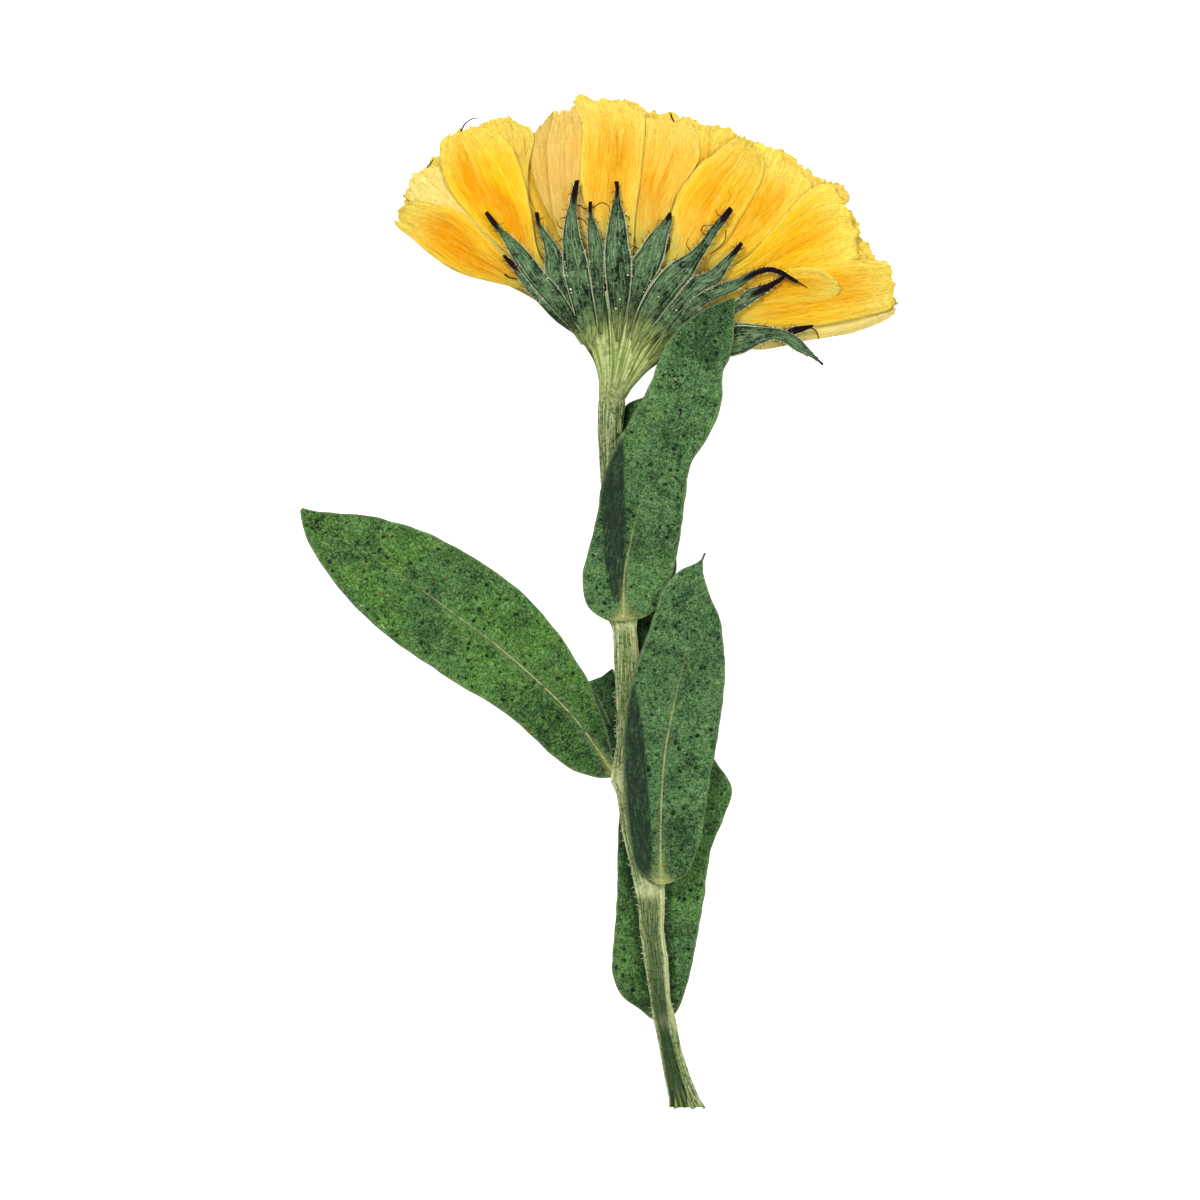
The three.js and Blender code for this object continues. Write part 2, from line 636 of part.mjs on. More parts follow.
function raisedRib(u) {
  return RIB_HEIGHT * Math.max(0, 1 - Math.abs(u) / WAVE_FLAT);
}

function leafLeftGeometry() {
  const blade = leafGeometry(
    LEAF_LEFT,
    (y, u, t) => follow(LEFT_RISE, t) + raisedRib(u) + edgeWave(LEFT_WAVES, u, t),
  );
  const lobe = leafGeometry(LEAF_LEFT_LOBE, () => LOBE_UNDERSIDE, LOBE_ROWS, LOBE_SHEET);
  return fuse([blade, lobe]);
}

function frontLeafGeometry(outline, rise) {
  return leafGeometry(outline, (y, u, t) => follow(rise, y) + raisedRib(u) + edgeWave(FRONT_WAVES, u, t));
}

function leafUpperBackGeometry() {
  return leafGeometry(LEAF_UPPER_BACK, (y, u, t) => UPPER_BACK_UNDERSIDE + edgeWave(BACK_WAVES, u, t));
}

// This leaf's middle lies flat on the surface
function leafLowerBackGeometry() {
  return leafGeometry(LEAF_LOWER_BACK, (y, u, t) => follow(LOWER_BACK_RISE, y) + edgeWave(BACK_WAVES, u, t));
}

function mesh(name, geometry, color, roughness) {
  const merged = mergeVertices(geometry, WELD);
  merged.computeVertexNormals();
  const material = new THREE.MeshStandardMaterial({ color, roughness, metalness: 0 });
  const piece = new THREE.Mesh(merged, material);
  piece.name = name;
  return piece;
}

const rayFlorets = fuse([
  rootRingGeometry(),
  ...PETALS.map((petal, i) => petalGeometry(petal, RESTING_PETALS.includes(i))),
]);
const involucre = fuse([
  cupGeometry(),
  ...FRONT_BRACTS.map((bract) => bractGeometry(bract, true)),
  ...BACK_BRACTS.map((bract) => bractGeometry(bract, false)),
]);

const plant = new THREE.Group();
plant.add(
  mesh('stem', stemGeometry(), 0x8c9a58, 0.7),
  mesh('involucre', involucre, 0x4a6a3c, 0.75),
  mesh('ray_florets', rayFlorets, 0xf3b123, 0.6),
  mesh('disc_florets', discGeometry(), 0xb4741c, 0.8),
  mesh('leaf_left', leafLeftGeometry(), 0x3c6a34, 0.7),
  mesh('leaf_upper_front', frontLeafGeometry(LEAF_UPPER_FRONT, UPPER_FRONT_RISE), 0x3f6b3c, 0.7),
  mesh('leaf_upper_back', leafUpperBackGeometry(), 0x3a6236, 0.7),
  mesh('leaf_middle', frontLeafGeometry(LEAF_MIDDLE, MIDDLE_RISE), 0x3f6b3c, 0.7),
  mesh('leaf_lower_back', leafLowerBackGeometry(), 0x3a6236, 0.7),
);

export default plant;
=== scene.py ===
"""Looks of a pressed pot marigold stem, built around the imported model.

Places and sizes are worked out in millimetres in the model's own frame, and MM turns them to metres where a
vertex is placed. X runs to the right, Y from the cut end to the flower, and Z up from the surface below.
"""

import json
import logging
import math
import random
from bisect import bisect_left
from dataclasses import dataclass
from enum import Enum
from functools import partial
from typing import Callable, Optional, Sequence, Union

import bmesh
import bpy
from mathutils import Matrix, Vector, kdtree, noise
from mathutils.bvhtree import BVHTree

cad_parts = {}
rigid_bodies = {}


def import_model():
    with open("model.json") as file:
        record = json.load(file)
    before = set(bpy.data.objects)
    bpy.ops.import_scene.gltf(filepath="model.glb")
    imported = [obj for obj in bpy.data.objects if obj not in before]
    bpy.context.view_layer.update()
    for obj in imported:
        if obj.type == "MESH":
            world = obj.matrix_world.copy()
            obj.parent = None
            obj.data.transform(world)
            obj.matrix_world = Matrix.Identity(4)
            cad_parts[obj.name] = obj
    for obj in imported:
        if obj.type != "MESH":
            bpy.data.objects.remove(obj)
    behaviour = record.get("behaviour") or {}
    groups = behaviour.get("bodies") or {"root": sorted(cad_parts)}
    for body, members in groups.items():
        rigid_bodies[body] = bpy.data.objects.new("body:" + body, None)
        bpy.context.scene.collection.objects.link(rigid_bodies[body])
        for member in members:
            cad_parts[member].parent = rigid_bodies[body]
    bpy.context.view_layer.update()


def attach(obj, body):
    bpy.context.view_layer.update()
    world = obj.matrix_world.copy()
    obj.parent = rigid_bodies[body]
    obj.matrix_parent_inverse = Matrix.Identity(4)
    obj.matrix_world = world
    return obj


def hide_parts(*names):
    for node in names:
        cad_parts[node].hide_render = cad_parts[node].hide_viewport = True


LOG = logging.getLogger("marigold")

MM = 0.001
ROOT_BODY = "root"
SEED = 21
# A length too short to divide by, and a sideways part so small that a hair counts as upright
TINY = 1e-6
UPRIGHT = 1e-4
# The last share of a bowed line at which its direction is taken
LAST_TURN = 0.999

Point = tuple[float, float]
Pairs = Sequence[tuple[float, float]]
Colour = tuple[float, float, float, float]
Values = dict[str, float]
# A vertex's place in millimetres and its painted values
Spot = tuple[Vector, Values]
# The form of a grid: its spot at u, from -1 to 1 across or round it, and v, from 0 to 1 along it
Shape = Callable[[float, float], Spot]

# Thicknesses and clearances of the model's solids
PETAL_SHEET = 0.6
LEAF_SHEET = 0.65
SEAT_GAP = 0.3

# Petals and bracts fan round the head's heart
HEART = Vector((3.0, 30.6))

# Petal layers, counted up from the surface
LAYER_STEP = 0.7
FIRST_FRONT_LAYER = 2
TOP_LAYER = 4
# Over distance from the heart: height of the lowest layer, closeness of the layers, room for the disc florets
PETAL_FLOOR = ((24.0, 1.2), (29.5, 0.15))
PRESSED = ((14.0, 1.0), (21.0, 0.6))
MIDDLE_ROOM = ((14.0, 1.2), (24.0, 0.0))


def follow(pairs: Pairs, place: float) -> float:
    """A value read from pairs of place and value, straight between them and level beyond their ends.

    Args:
        pairs: places in rising order, each with its value.
        place: where to read.

    Returns:
        The value there.
    """
    if place <= pairs[0][0]:
        return pairs[0][1]
    for (low, start), (high, end) in zip(pairs, pairs[1:]):
        if place <= high:
            return start + (end - start) * (place - low) / (high - low)
    return pairs[-1][1]


def ease(low: float, high: float, value: float) -> float:
    """A smooth step read at value: 0 at low, 1 at high, and either may be the higher one."""
    share = min(1.0, max(0.0, (value - low) / (high - low)))
    return share * share * (3.0 - 2.0 * share)


def bell(offset: float, reach: float) -> float:
    """1 where the offset is 0, falling softly to either side over the reach."""
    return math.exp(-((offset / reach) ** 2))


def ruffle(x: float, y: float, z: float) -> float:
    """Soft noise from about -1 to 1 at three numbers."""
    return noise.noise(Vector((x, y, z)))


def raised_to(height: float, flat: Vector) -> Vector:
    """A point of the plane, raised to a height."""
    return Vector((flat.x, flat.y, height))


def round_angle(u: float) -> float:
    """The angle round a tube at u from -1 to 1."""
    return math.pi * (u + 1.0)


def right_of(way: Vector) -> Vector:
    """The direction to the right-hand side of a way in the plane."""
    return Vector((way.y, -way.x))


def around_heart(degrees: float, radius: float) -> Vector:
    """The point in a direction from the heart, anticlockwise from the right, and at a distance from it."""
    angle = math.radians(degrees)
    return HEART + Vector((math.cos(angle), math.sin(angle))) * radius


def layer_underside(layer: int, distance: float) -> float:
    """Height of the underside of a petal layer, 0 to TOP_LAYER, at a distance from the heart."""
    room = follow(MIDDLE_ROOM, distance) if layer >= FIRST_FRONT_LAYER else 0.0
    return follow(PETAL_FLOOR, distance) + layer * LAYER_STEP * follow(PRESSED, distance) + room


def petal_top(distance: float) -> float:
    """Height of the uppermost petals' top at a distance from the heart."""
    return layer_underside(TOP_LAYER, distance) + PETAL_SHEET


class Line:
    """A smooth line through a few points of the plane, read by the share of its length."""

    # Places worked out between two of its points
    STEPS = 14

    def __init__(self, points: Sequence[Point]) -> None:
        """Samples the line.

        Args:
            points: two or more points that the line passes.
        """
        knots = [Vector(p) for p in points]
        knots = [knots[0] * 2 - knots[1], *knots, knots[-1] * 2 - knots[-2]]
        self.samples = [knots[1]]
        for i in range(1, len(knots) - 2):
            self.samples += self._stretch(*knots[i - 1 : i + 3])
        self.lengths = [0.0]
        for before, after in zip(self.samples, self.samples[1:]):
            self.lengths.append(self.lengths[-1] + (after - before).length)

    @classmethod
    def _stretch(cls, before: Vector, start: Vector, end: Vector, after: Vector) -> list[Vector]:
        """Points of one stretch, eased by the roots of the distances between the knots.

        Args:
            before, start, end, after: the stretch's two knots, start and end, and the ones beside them.

        Returns:
            The points after start, up to end.
        """
        gaps = ((before, start), (start, end), (end, after))
        first, middle, last = [math.sqrt(max(TINY, (b - a).length)) for a, b in gaps]
        slope = (end - start) / middle
        leave = ((start - before) / first - (end - before) / (first + middle) + slope) * middle
        reach = (slope - (after - start) / (middle + last) + (after - end) / last) * middle
        found = []
        for i in range(1, cls.STEPS + 1):
            t = i / cls.STEPS
            cube = (start * 2 - end * 2 + leave + reach) * t**3
            square = (end * 3 - start * 3 - leave * 2 - reach) * t**2
            found.append(cube + square + leave * t + start)
        return found

    @property
    def length(self) -> float:
        """The whole line's length."""
        return self.lengths[-1]

    def at(self, share: float) -> Vector:
        """A point of the line.

        Args:
            share: how far along it, from 0 to 1.

        Returns:
            The point.
        """
        target = min(1.0, max(0.0, share)) * self.lengths[-1]
        i = max(1, min(len(self.samples) - 1, bisect_left(self.lengths, target)))
        span = self.lengths[i] - self.lengths[i - 1]
        part = (target - self.lengths[i - 1]) / span if span > TINY else 0.0
        return self.samples[i - 1].lerp(self.samples[i], part)

    def way(self, share: float, reach: float) -> Vector:
        """The line's direction about a share of its length, taken over reach to either side."""
        return (self.at(min(1.0, share + reach)) - self.at(max(0.0, share - reach))).normalized()


class Sheets:
    """One piece made of thin blades or closed tubes, each shaped from a flat grid."""

    def __init__(self, name: str, values: Sequence[str]) -> None:
        """Starts an empty piece.

        Args:
            name: the piece's name.
            values: names of the numbers painted on its vertices.
        """
        self.name = name
        self.mesh = bmesh.new()
        self.mesh.loops.layers.uv.new("UVMap")
        self.painted = {key: self.mesh.verts.layers.float.new(key) for key in values}

    def add(self, across: int, along: int, shape: Shape) -> None:
        """Adds a grid and moves each vertex to its place.

        Args:
            across: cells across the blade.
            along: cells along the blade.
            shape: its form.
        """
        made = bmesh.ops.create_grid(self.mesh, x_segments=across, y_segments=along, size=1.0, calc_uvs=True)
        for vert in made["verts"]:
            place, values = shape(vert.co.x, (vert.co.y + 1.0) / 2.0)
            vert.co = place * MM
            for key, value in values.items():
                vert[self.painted[key]] = value

    def bead(self, centre: Vector, radius: float) -> None:
        """Adds a small round bead, its centre and radius in millimetres."""
        place = Matrix.Translation(centre * MM)
        bmesh.ops.create_icosphere(self.mesh, subdivisions=1, radius=radius * MM, matrix=place)

    def close(self, weld: float) -> None:
        """Welds the seams, fills the open ends and turns the faces outwards.

        Args:
            weld: how close two vertices are to become one, in millimetres.
        """
        bmesh.ops.remove_doubles(self.mesh, verts=self.mesh.verts[:], dist=weld * MM)
        bmesh.ops.holes_fill(self.mesh, edges=[e for e in self.mesh.edges if e.is_boundary], sides=0)
        bmesh.ops.recalc_face_normals(self.mesh, faces=self.mesh.faces[:])

    def finish(self, material: bpy.types.Material, thickness: float = 0.0) -> bpy.types.Object:
        """Makes the piece an object of the scene.

        Args:
            material: its finish.
            thickness: of each blade in millimetres, or 0 where the piece is closed already.

        Returns:
            The object.
        """
        data = bpy.data.meshes.new(self.name)
        self.mesh.to_mesh(data)
        self.mesh.free()
        data.shade_smooth()
        data.materials.append(material)
        piece = bpy.data.objects.new(self.name, data)
        bpy.context.scene.collection.objects.link(piece)
        if thickness > 0:
            wall = piece.modifiers.new("wall", "SOLIDIFY")
            wall.thickness = thickness * MM
            wall.offset = 0.0
        return piece


class Cover:
    """The upper sides of finished pieces, asked for their height at a place."""

    # Height from which the pieces are looked down on
    ABOVE = 50.0

    def __init__(self, pieces: Sequence[bpy.types.Object]) -> None:
        """Remembers the pieces' faces.

        Args:
            pieces: what is looked at.
        """
        self.trees = []
        for piece in pieces:
            corners = [vert.co for vert in piece.data.vertices]
            faces = [tuple(face.vertices) for face in piece.data.polygons]
            self.trees.append(BVHTree.FromPolygons(corners, faces))

    def height(self, point: Vector) -> float:
        """Height of the uppermost piece at a point.

        Args:
            point: where, in the plane.

        Returns:
            The height, or 0 beside all the pieces.
        """
        start = raised_to(self.ABOVE, point) * MM
        hits = [tree.ray_cast(start, Vector((0.0, 0.0, -1.0)))[0] for tree in self.trees]
        return max([hit.z / MM for hit in hits if hit is not None] or [0.0])


def paint(red: int, green: int, blue: int) -> Colour:
    """A colour as light, from its values on a screen.

    Args:
        red, green, blue: from 0 to 255.

    Returns:
        Red, green and blue as light from 0 to 1, and 1.
    """
    screen = [value / 255 for value in (red, green, blue)]
    light = [v / 12.92 if v <= 0.04045 else ((v + 0.055) / 1.055) ** 2.4 for v in screen]
    return (*light, 1.0)


class Wire:
    """A number that flows between shader nodes: its operators add Math nodes."""

    def __init__(self, nodes: "Nodes", socket: bpy.types.NodeSocket) -> None:
        """Wraps an output socket of a material's nodes."""
        self.nodes = nodes
        self.socket = socket

    def _math(self, operation: str, *terms: "Number") -> "Wire":
        """Adds one Math node on the terms."""
        node = self.nodes.add("ShaderNodeMath", {"operation": operation}, dict(enumerate(terms)))
        return Wire(self.nodes, node.outputs[0])

    def __add__(self, other: "Number") -> "Wire":
        """The sum."""
        return self._math("ADD", self, other)

    __radd__ = __add__

    def __sub__(self, other: "Number") -> "Wire":
        """The difference."""
        return self._math("SUBTRACT", self, other)

    def __rsub__(self, other: "Number") -> "Wire":
        """The difference with this as the second term."""
        return self._math("SUBTRACT", other, self)

    def __mul__(self, other: "Number") -> "Wire":
        """The product."""
        return self._math("MULTIPLY", self, other)

    __rmul__ = __mul__

    def __abs__(self) -> "Wire":
        """The value without its sign."""
        return self._math("ABSOLUTE", self)

    def at(self, middle: float, reach: float) -> "Wire":
        """1 where the value is middle, falling to 0 at reach to either side."""
        return abs(self - middle).over(reach, 0.0)

    def over(self, low: float, high: float) -> "Wire":
        """A smooth step over the value, as ease gives."""
        sockets = {"Value": self, "From Min": low, "From Max": high}
        node = self.nodes.add("ShaderNodeMapRange", {"interpolation_type": "SMOOTHSTEP"}, sockets)
        return Wire(self.nodes, node.outputs["Result"])


Number = Union[Wire, float]


class Nodes:
    """The shader nodes of one finish."""

    def __init__(self, name: str) -> None:
        """Starts a material with no nodes but its output.

        Args:
            name: the material's name.
        """
        self.material = bpy.data.materials.new(name)
        self.material.use_nodes = True
        self.tree = self.material.node_tree
        self.tree.nodes.clear()
        self.output = self.tree.nodes.new("ShaderNodeOutputMaterial")

    def add(self, kind: str, settings: dict, sockets: dict) -> bpy.types.Node:
        """Adds a node.

        Args:
            kind: its type.
            settings: its own properties, set first.
            sockets: values or wires for its inputs, by name or number.

        Returns:
            The node.
        """
        node = self.tree.nodes.new(kind)
        for key, value in settings.items():
            setattr(node, key, value)
        for key, value in sockets.items():
            socket = node.inputs[key]
            if isinstance(value, Wire):
                self.tree.links.new(value.socket, socket)
            elif isinstance(value, bpy.types.NodeSocket):
                self.tree.links.new(value, socket)
            else:
                socket.default_value = value
        return node

    def value(self, name: str) -> Wire:
        """A number painted on the piece's vertices."""
        return Wire(self, self.add("ShaderNodeAttribute", {"attribute_name": name}, {}).outputs["Fac"])

    def values(self, *names: str) -> list[Wire]:
        """Several numbers painted on the piece's vertices."""
        return [self.value(name) for name in names]

    def place(self) -> bpy.types.NodeSocket:
        """The piece's own coordinates, in metres."""
        return self.add("ShaderNodeTexCoord", {}, {}).outputs["Object"]

    def sheet(self) -> tuple[Wire, Wire]:
        """The place across a blade and the place along it, each from 0 to 1."""
        flat = self.add("ShaderNodeTexCoord", {}, {}).outputs["UV"]
        parts = self.add("ShaderNodeSeparateXYZ", {}, {"Vector": flat})
        return Wire(self, parts.outputs["X"]), Wire(self, parts.outputs["Y"])

    def vector(self, x: Number, y: Number, z: Number) -> bpy.types.NodeSocket:
        """Three numbers as one vector."""
        return self.add("ShaderNodeCombineXYZ", {}, {"X": x, "Y": y, "Z": z}).outputs["Vector"]

    def cloud(
        self, vector: bpy.types.NodeSocket, scale: float, detail: float = 2.0, warp: float = 0.0
    ) -> Wire:
        """Soft noise about 0.5, with detail finer layers, twisted by warp."""
        sockets = {"Vector": vector, "Scale": scale, "Detail": detail, "Distortion": warp}
        return Wire(self, self.add("ShaderNodeTexNoise", {}, sockets).outputs["Fac"])

    def streaks(
        self, across: Wire, along: Wire, seed: Number, scale: float, detail: float, warp: float = 0.0
    ) -> Wire:
        """Such noise on a blade, drawn out by the factors on its two places and moved by seed."""
        return self.cloud(self.vector(across + seed, along, seed), scale, detail, warp)

    def cells(self, vector: bpy.types.NodeSocket, scale: float) -> Wire:
        """Distance to the middle of the nearest cell of a pattern, with scale cells for each unit."""
        node = self.add("ShaderNodeTexVoronoi", {"feature": "F1"}, {"Vector": vector, "Scale": scale})
        return Wire(self, node.outputs["Distance"])

    def mix(self, factor: Number, first: object, second: object) -> bpy.types.NodeSocket:
        """Mixes two colours or sockets: up to 0 gives the first, and from 1 the second."""
        settings = {"data_type": "RGBA", "blend_type": "MIX", "clamp_factor": True}
        return self.add("ShaderNodeMix", settings, {0: factor, 6: first, 7: second}).outputs[2]

    def surface(
        self, colour: object, roughness: Number, height: Optional[Wire], depth: float, gloss: float
    ) -> None:
        """Makes the surface and joins it to the output.

        Args:
            colour: the base colour's socket or value.
            roughness: from 0 to 1.
            height: relief from 0 to 1, or None.
            depth: how far the relief stands out, in millimetres.
            gloss: the specular level.
        """
        sockets = {"Base Color": colour, "Roughness": roughness, "Specular IOR Level": gloss}
        if height is not None:
            relief = {"Strength": 1.0, "Distance": depth * MM, "Height": height}
            sockets["Normal"] = self.add("ShaderNodeBump", {}, relief).outputs["Normal"]
        self.show(sockets)

    def show(self, sockets: dict) -> None:
        """Joins a shader with those sockets to the output."""
        shader = self.add("ShaderNodeBsdfPrincipled", {}, sockets)
        self.tree.links.new(shader.outputs["BSDF"], self.output.inputs["Surface"])


class Tint(Enum):
    """What a pale petal fades to."""

    BLUSH = 0.0
    OLIVE = 1.0
    CREAM = 2.0


@dataclass(frozen=True)
class Petal:
    """One petal between its two edges, each listed from root to tip.

    Attributes:
        layer: 0 at the back to TOP_LAYER in front.
        lift: height of its sheet's middle above the layer's underside.
        left: the edge on the left-hand side, seen from the root.
        right: the edge on the right-hand side.
        crown: how far the tip's middle reaches past its corners.
        orange: how orange it is, 0 to 1.
        pale: how pale it is, 0 to 1.
        rests: whether its tip comes down to the surface.
        tint: what it fades to where it is pale.
        ragged: how torn its tip is, 1 for most.
    """

    layer: int
    lift: float
    left: tuple[Point, ...]
    right: tuple[Point, ...]
    crown: float
    orange: float
    pale: float
    rests: bool = False
    tint: Tint = Tint.BLUSH
    ragged: float = 1.0


# Petals whose edges show, from the front layer to the back
SEEN_PETALS = (
    Petal(
        4, 0.3,
        ((-4.3, 34.3), (-8.6, 36.9), (-12.2, 37.9), (-16.3, 39.0), (-18.5, 40.1), (-20.9, 41.9),
         (-22.8, 43.6), (-24.2, 44.6), (-24.9, 45.5)),
        ((-3.4, 35.9), (-7.5, 37.9), (-10.1, 39.5), (-12.7, 42.5), (-15.2, 45.2), (-16.9, 46.6),
         (-19.3, 47.4), (-21.5, 47.9), (-23.2, 47.9)),
        0.1, 1.0, 0.1,
    ),
    Petal(
        4, 0.42,
        ((-3.9, 35.1), (-9.0, 39.6), (-13.9, 44.2), (-16.1, 46.6), (-18.5, 49.9), (-19.2, 53.4),
         (-19.1, 55.0), (-18.2, 55.9)),
        ((-2.9, 36.3), (-7.1, 40.9), (-8.2, 46.1), (-8.9, 49.6), (-9.5, 51.7), (-10.3, 53.9),
         (-11.6, 55.6), (-14.6, 57.2)),
        0.3, 0.95, 0.0,
    ),
    Petal(
        4, 0.32,
        ((2.2, 38.8), (-0.6, 44.0), (-2.2, 49.0), (-2.4, 52.0), (-2.2, 55.5), (-2.3, 57.4), (-3.0, 59.2),
         (-3.6, 60.6)),
        ((3.8, 38.8), (4.2, 46.0), (4.8, 50.0), (5.2, 53.5), (5.4, 56.4), (5.4, 58.0), (5.2, 58.9)),
        0.7, 0.6, 0.2,
    ),
    Petal(
        4, 0.32,
        ((4.6, 38.6), (8.2, 41.8), (8.3, 45.2), (8.9, 47.5), (9.7, 49.3), (10.9, 50.9), (12.2, 52.6),
         (13.4, 53.4), (15.2, 54.8), (17.0, 55.9)),
        ((5.8, 38.3), (14.6, 42.6), (16.8, 45.8), (18.2, 48.1), (19.4, 50.4), (19.8, 52.3), (19.4, 53.8),
         (18.4, 54.8)),
        0.1, 0.65, 0.1,
    ),
    Petal(
        4, 0.24,
        ((8.3, 36.8), (17.0, 40.6), (19.8, 43.4), (22.0, 46.1), (24.0, 48.2), (25.6, 49.6), (27.2, 50.0),
         (28.8, 49.6)),
        ((9.3, 35.6), (17.4, 37.2), (21.0, 38.2), (24.7, 39.0), (28.3, 39.8), (31.3, 41.2)),
        0.5, 0.5, 0.0,
    ),
    Petal(
        4, 0.36,
        ((9.8, 34.6), (18.0, 37.8), (24.7, 40.1), (30.6, 40.9), (35.2, 40.7)),
        ((10.6, 32.6), (18.0, 32.4), (25.6, 32.8), (30.0, 33.6), (32.3, 34.2), (34.8, 34.9), (35.6, 36.0)),
        0.3, 0.45, 0.1,
    ),
    Petal(
        4, 0.5,
        ((9.6, 35.0), (17.4, 38.0), (21.5, 39.4), (24.5, 40.0), (26.4, 39.7), (27.9, 38.9)),
        ((10.2, 33.8), (16.0, 34.6), (22.0, 35.2), (26.0, 35.6), (28.2, 36.2)),
        1.3, 0.6, 0.1, False, Tint.BLUSH, 0.25,
    ),
    Petal(
        3, 0.3,
        ((-3.6, 35.2), (-8.0, 38.0), (-15.0, 42.0), (-20.5, 46.0), (-23.9, 48.7)),
        ((-2.6, 36.2), (-8.0, 40.0), (-13.0, 44.5), (-17.0, 49.5), (-19.6, 52.6)),
        1.0, 0.0, 0.8, False, Tint.CREAM,
    ),
    Petal(
        3, 0.2,
        ((-2.3, 36.6), (-8.5, 43.0), (-11.5, 49.0), (-13.5, 54.0), (-14.6, 57.4)),
        ((-1.4, 37.3), (-6.5, 42.0), (-8.5, 48.0), (-8.6, 51.7), (-8.2, 53.8), (-7.9, 55.6), (-8.6, 57.2)),
        0.9, 0.1, 0.75, False, Tint.OLIVE, 0.4,
    ),
    Petal(
        3, 0.4,
        ((1.0, 38.5), (-4.9, 43.6), (-5.4, 45.2), (-6.0, 48.7), (-6.4, 52.8), (-6.4, 55.1), (-6.0, 56.9),
         (-5.5, 59.0)),
        ((2.4, 38.8), (-0.5, 44.0), (-1.6, 50.0), (-1.2, 56.0), (-2.0, 59.5)),
        0.2, 0.25, 0.85,
    ),
    Petal(
        3, 0.3,
        ((3.6, 38.8), (3.2, 43.0), (3.4, 48.0), (4.2, 54.0), (5.0, 58.4)),
        ((5.2, 38.5), (8.2, 43.2), (8.6, 46.8), (9.1, 48.1), (10.0, 49.6), (11.2, 51.4), (11.9, 52.8),
         (12.0, 54.4), (11.8, 55.7), (11.0, 57.2)),
        0.5, 0.8, 0.3,
    ),
    Petal(
        3, 0.3,
        ((6.4, 38.1), (10.0, 40.0), (14.0, 45.0), (17.0, 51.0), (18.4, 55.0)),
        ((8.0, 37.1), (17.0, 40.6), (22.0, 44.5), (24.5, 47.6), (25.6, 49.9)),
        1.3, 0.45, 0.1,
    ),
    Petal(
        3, 0.3,
        ((10.6, 32.4), (20.0, 34.0), (28.0, 35.4), (34.0, 36.4), (35.7, 36.4)),
        ((11.0, 31.2), (18.8, 30.0), (22.2, 30.5), (24.2, 31.0), (27.8, 31.6), (30.4, 32.1),
         (32.3, 32.8), (34.1, 33.5), (35.6, 34.6)),
        0.2, 0.0, 0.95, False, Tint.CREAM,
    ),
    Petal(
        2, 0.35,
        ((0.2, 38.1), (-4.5, 43.5), (-7.8, 50.0), (-8.4, 54.0), (-7.9, 56.0)),
        ((1.6, 38.5), (-2.5, 44.0), (-4.5, 50.0), (-5.0, 55.0), (-5.2, 59.2)),
        0.5, 0.15, 0.75,
    ),
    Petal(
        2, 0.3,
        ((5.0, 38.6), (8.5, 45.0), (10.5, 52.0), (11.0, 57.0)),
        ((6.2, 38.2), (12.0, 44.0), (15.5, 51.0), (17.0, 55.9)),
        0.8, 0.5, 0.1,
    ),
    Petal(
        2, 0.3,
        ((8.3, 36.9), (15.0, 40.5), (22.0, 46.0), (25.6, 50.3)),
        ((8.9, 36.2), (18.0, 39.5), (26.0, 44.5), (30.4, 48.4)),
        1.3, 0.1, 0.6,
    ),
)
# Petals behind those: tip x, tip y, widest, bow to the right-hand side, layer, and 1 where the tip rests
HIDDEN_PETALS = (
    (-23.8, 47.1, 5.6, 1.2, 2, 0),
    (-19.0, 54.0, 6.4, 0.3, 2, 0),
    (2.7, 59.5, 7.2, 0.0, 2, 0),
    (20.9, 53.8, 6.4, 0.0, 2, 0),
    (32.2, 40.6, 6.6, 0.0, 2, 0),
    (-22.8, 47.0, 6.0, 1.2, 1, 0),
    (-17.6, 54.4, 7.2, 0.3, 1, 0),
    (-7.6, 55.9, 7.0, 0.0, 1, 0),
    (1.4, 60.1, 7.0, 0.0, 1, 0),
    (10.3, 58.0, 7.2, 0.0, 1, 0),
    (18.7, 54.7, 7.0, 0.0, 1, 0),
    (27.0, 50.2, 6.8, 0.0, 1, 0),
    (32.2, 42.4, 7.2, 0.2, 1, 0),
    (-21.5, 50.4, 7.0, 0.5, 0, 1),
    (-13.7, 57.2, 7.4, 0.2, 0, 0),
    (-3.5, 58.7, 7.0, 0.0, 0, 0),
    (6.0, 59.0, 7.2, 0.0, 0, 0),
    (14.6, 56.6, 7.2, 0.0, 0, 0),
    (23.3, 53.0, 7.4, 0.0, 0, 0),
    (30.0, 46.8, 7.4, 0.0, 0, 0),
    (34.3, 37.8, 6.8, 0.3, 0, 1),
)
# Share of a hidden petal's full width over the share of its length
PETAL_OUTLINE = ((0.0, 0.0), (0.2, 0.34), (0.42, 0.8), (0.64, 1.0), (0.84, 0.96), (1.0, 0.72))


def bowed_edges(
    root: Vector, tip: Vector, bow: float, half: Callable[[float], float], steps: int = 10
) -> tuple[tuple[Point, ...], tuple[Point, ...]]:
    """The two edges of a blade about a bowed centre line.

    Args:
        root: where it starts.
        tip: where it ends.
        bow: how far the line's middle bends to the right-hand side.
        half: half-width at a share of the way from root to tip.
        steps: stretches along each edge.

    Returns:
        The left edge and the right edge, each from root to tip.
    """
    middle = (root + tip) / 2 + right_of((tip - root).normalized()) * 2 * bow
    left, right = [], []
    for i in range(steps + 1):
        t = i / steps
        turn = min(t, LAST_TURN)
        way = (middle.lerp(tip, turn) - root.lerp(middle, turn)).normalized()
        point = root.lerp(middle, t).lerp(middle.lerp(tip, t), t)
        left.append(tuple(point - right_of(way) * half(t)))
        right.append(tuple(point + right_of(way) * half(t)))
    return tuple(left), tuple(right)


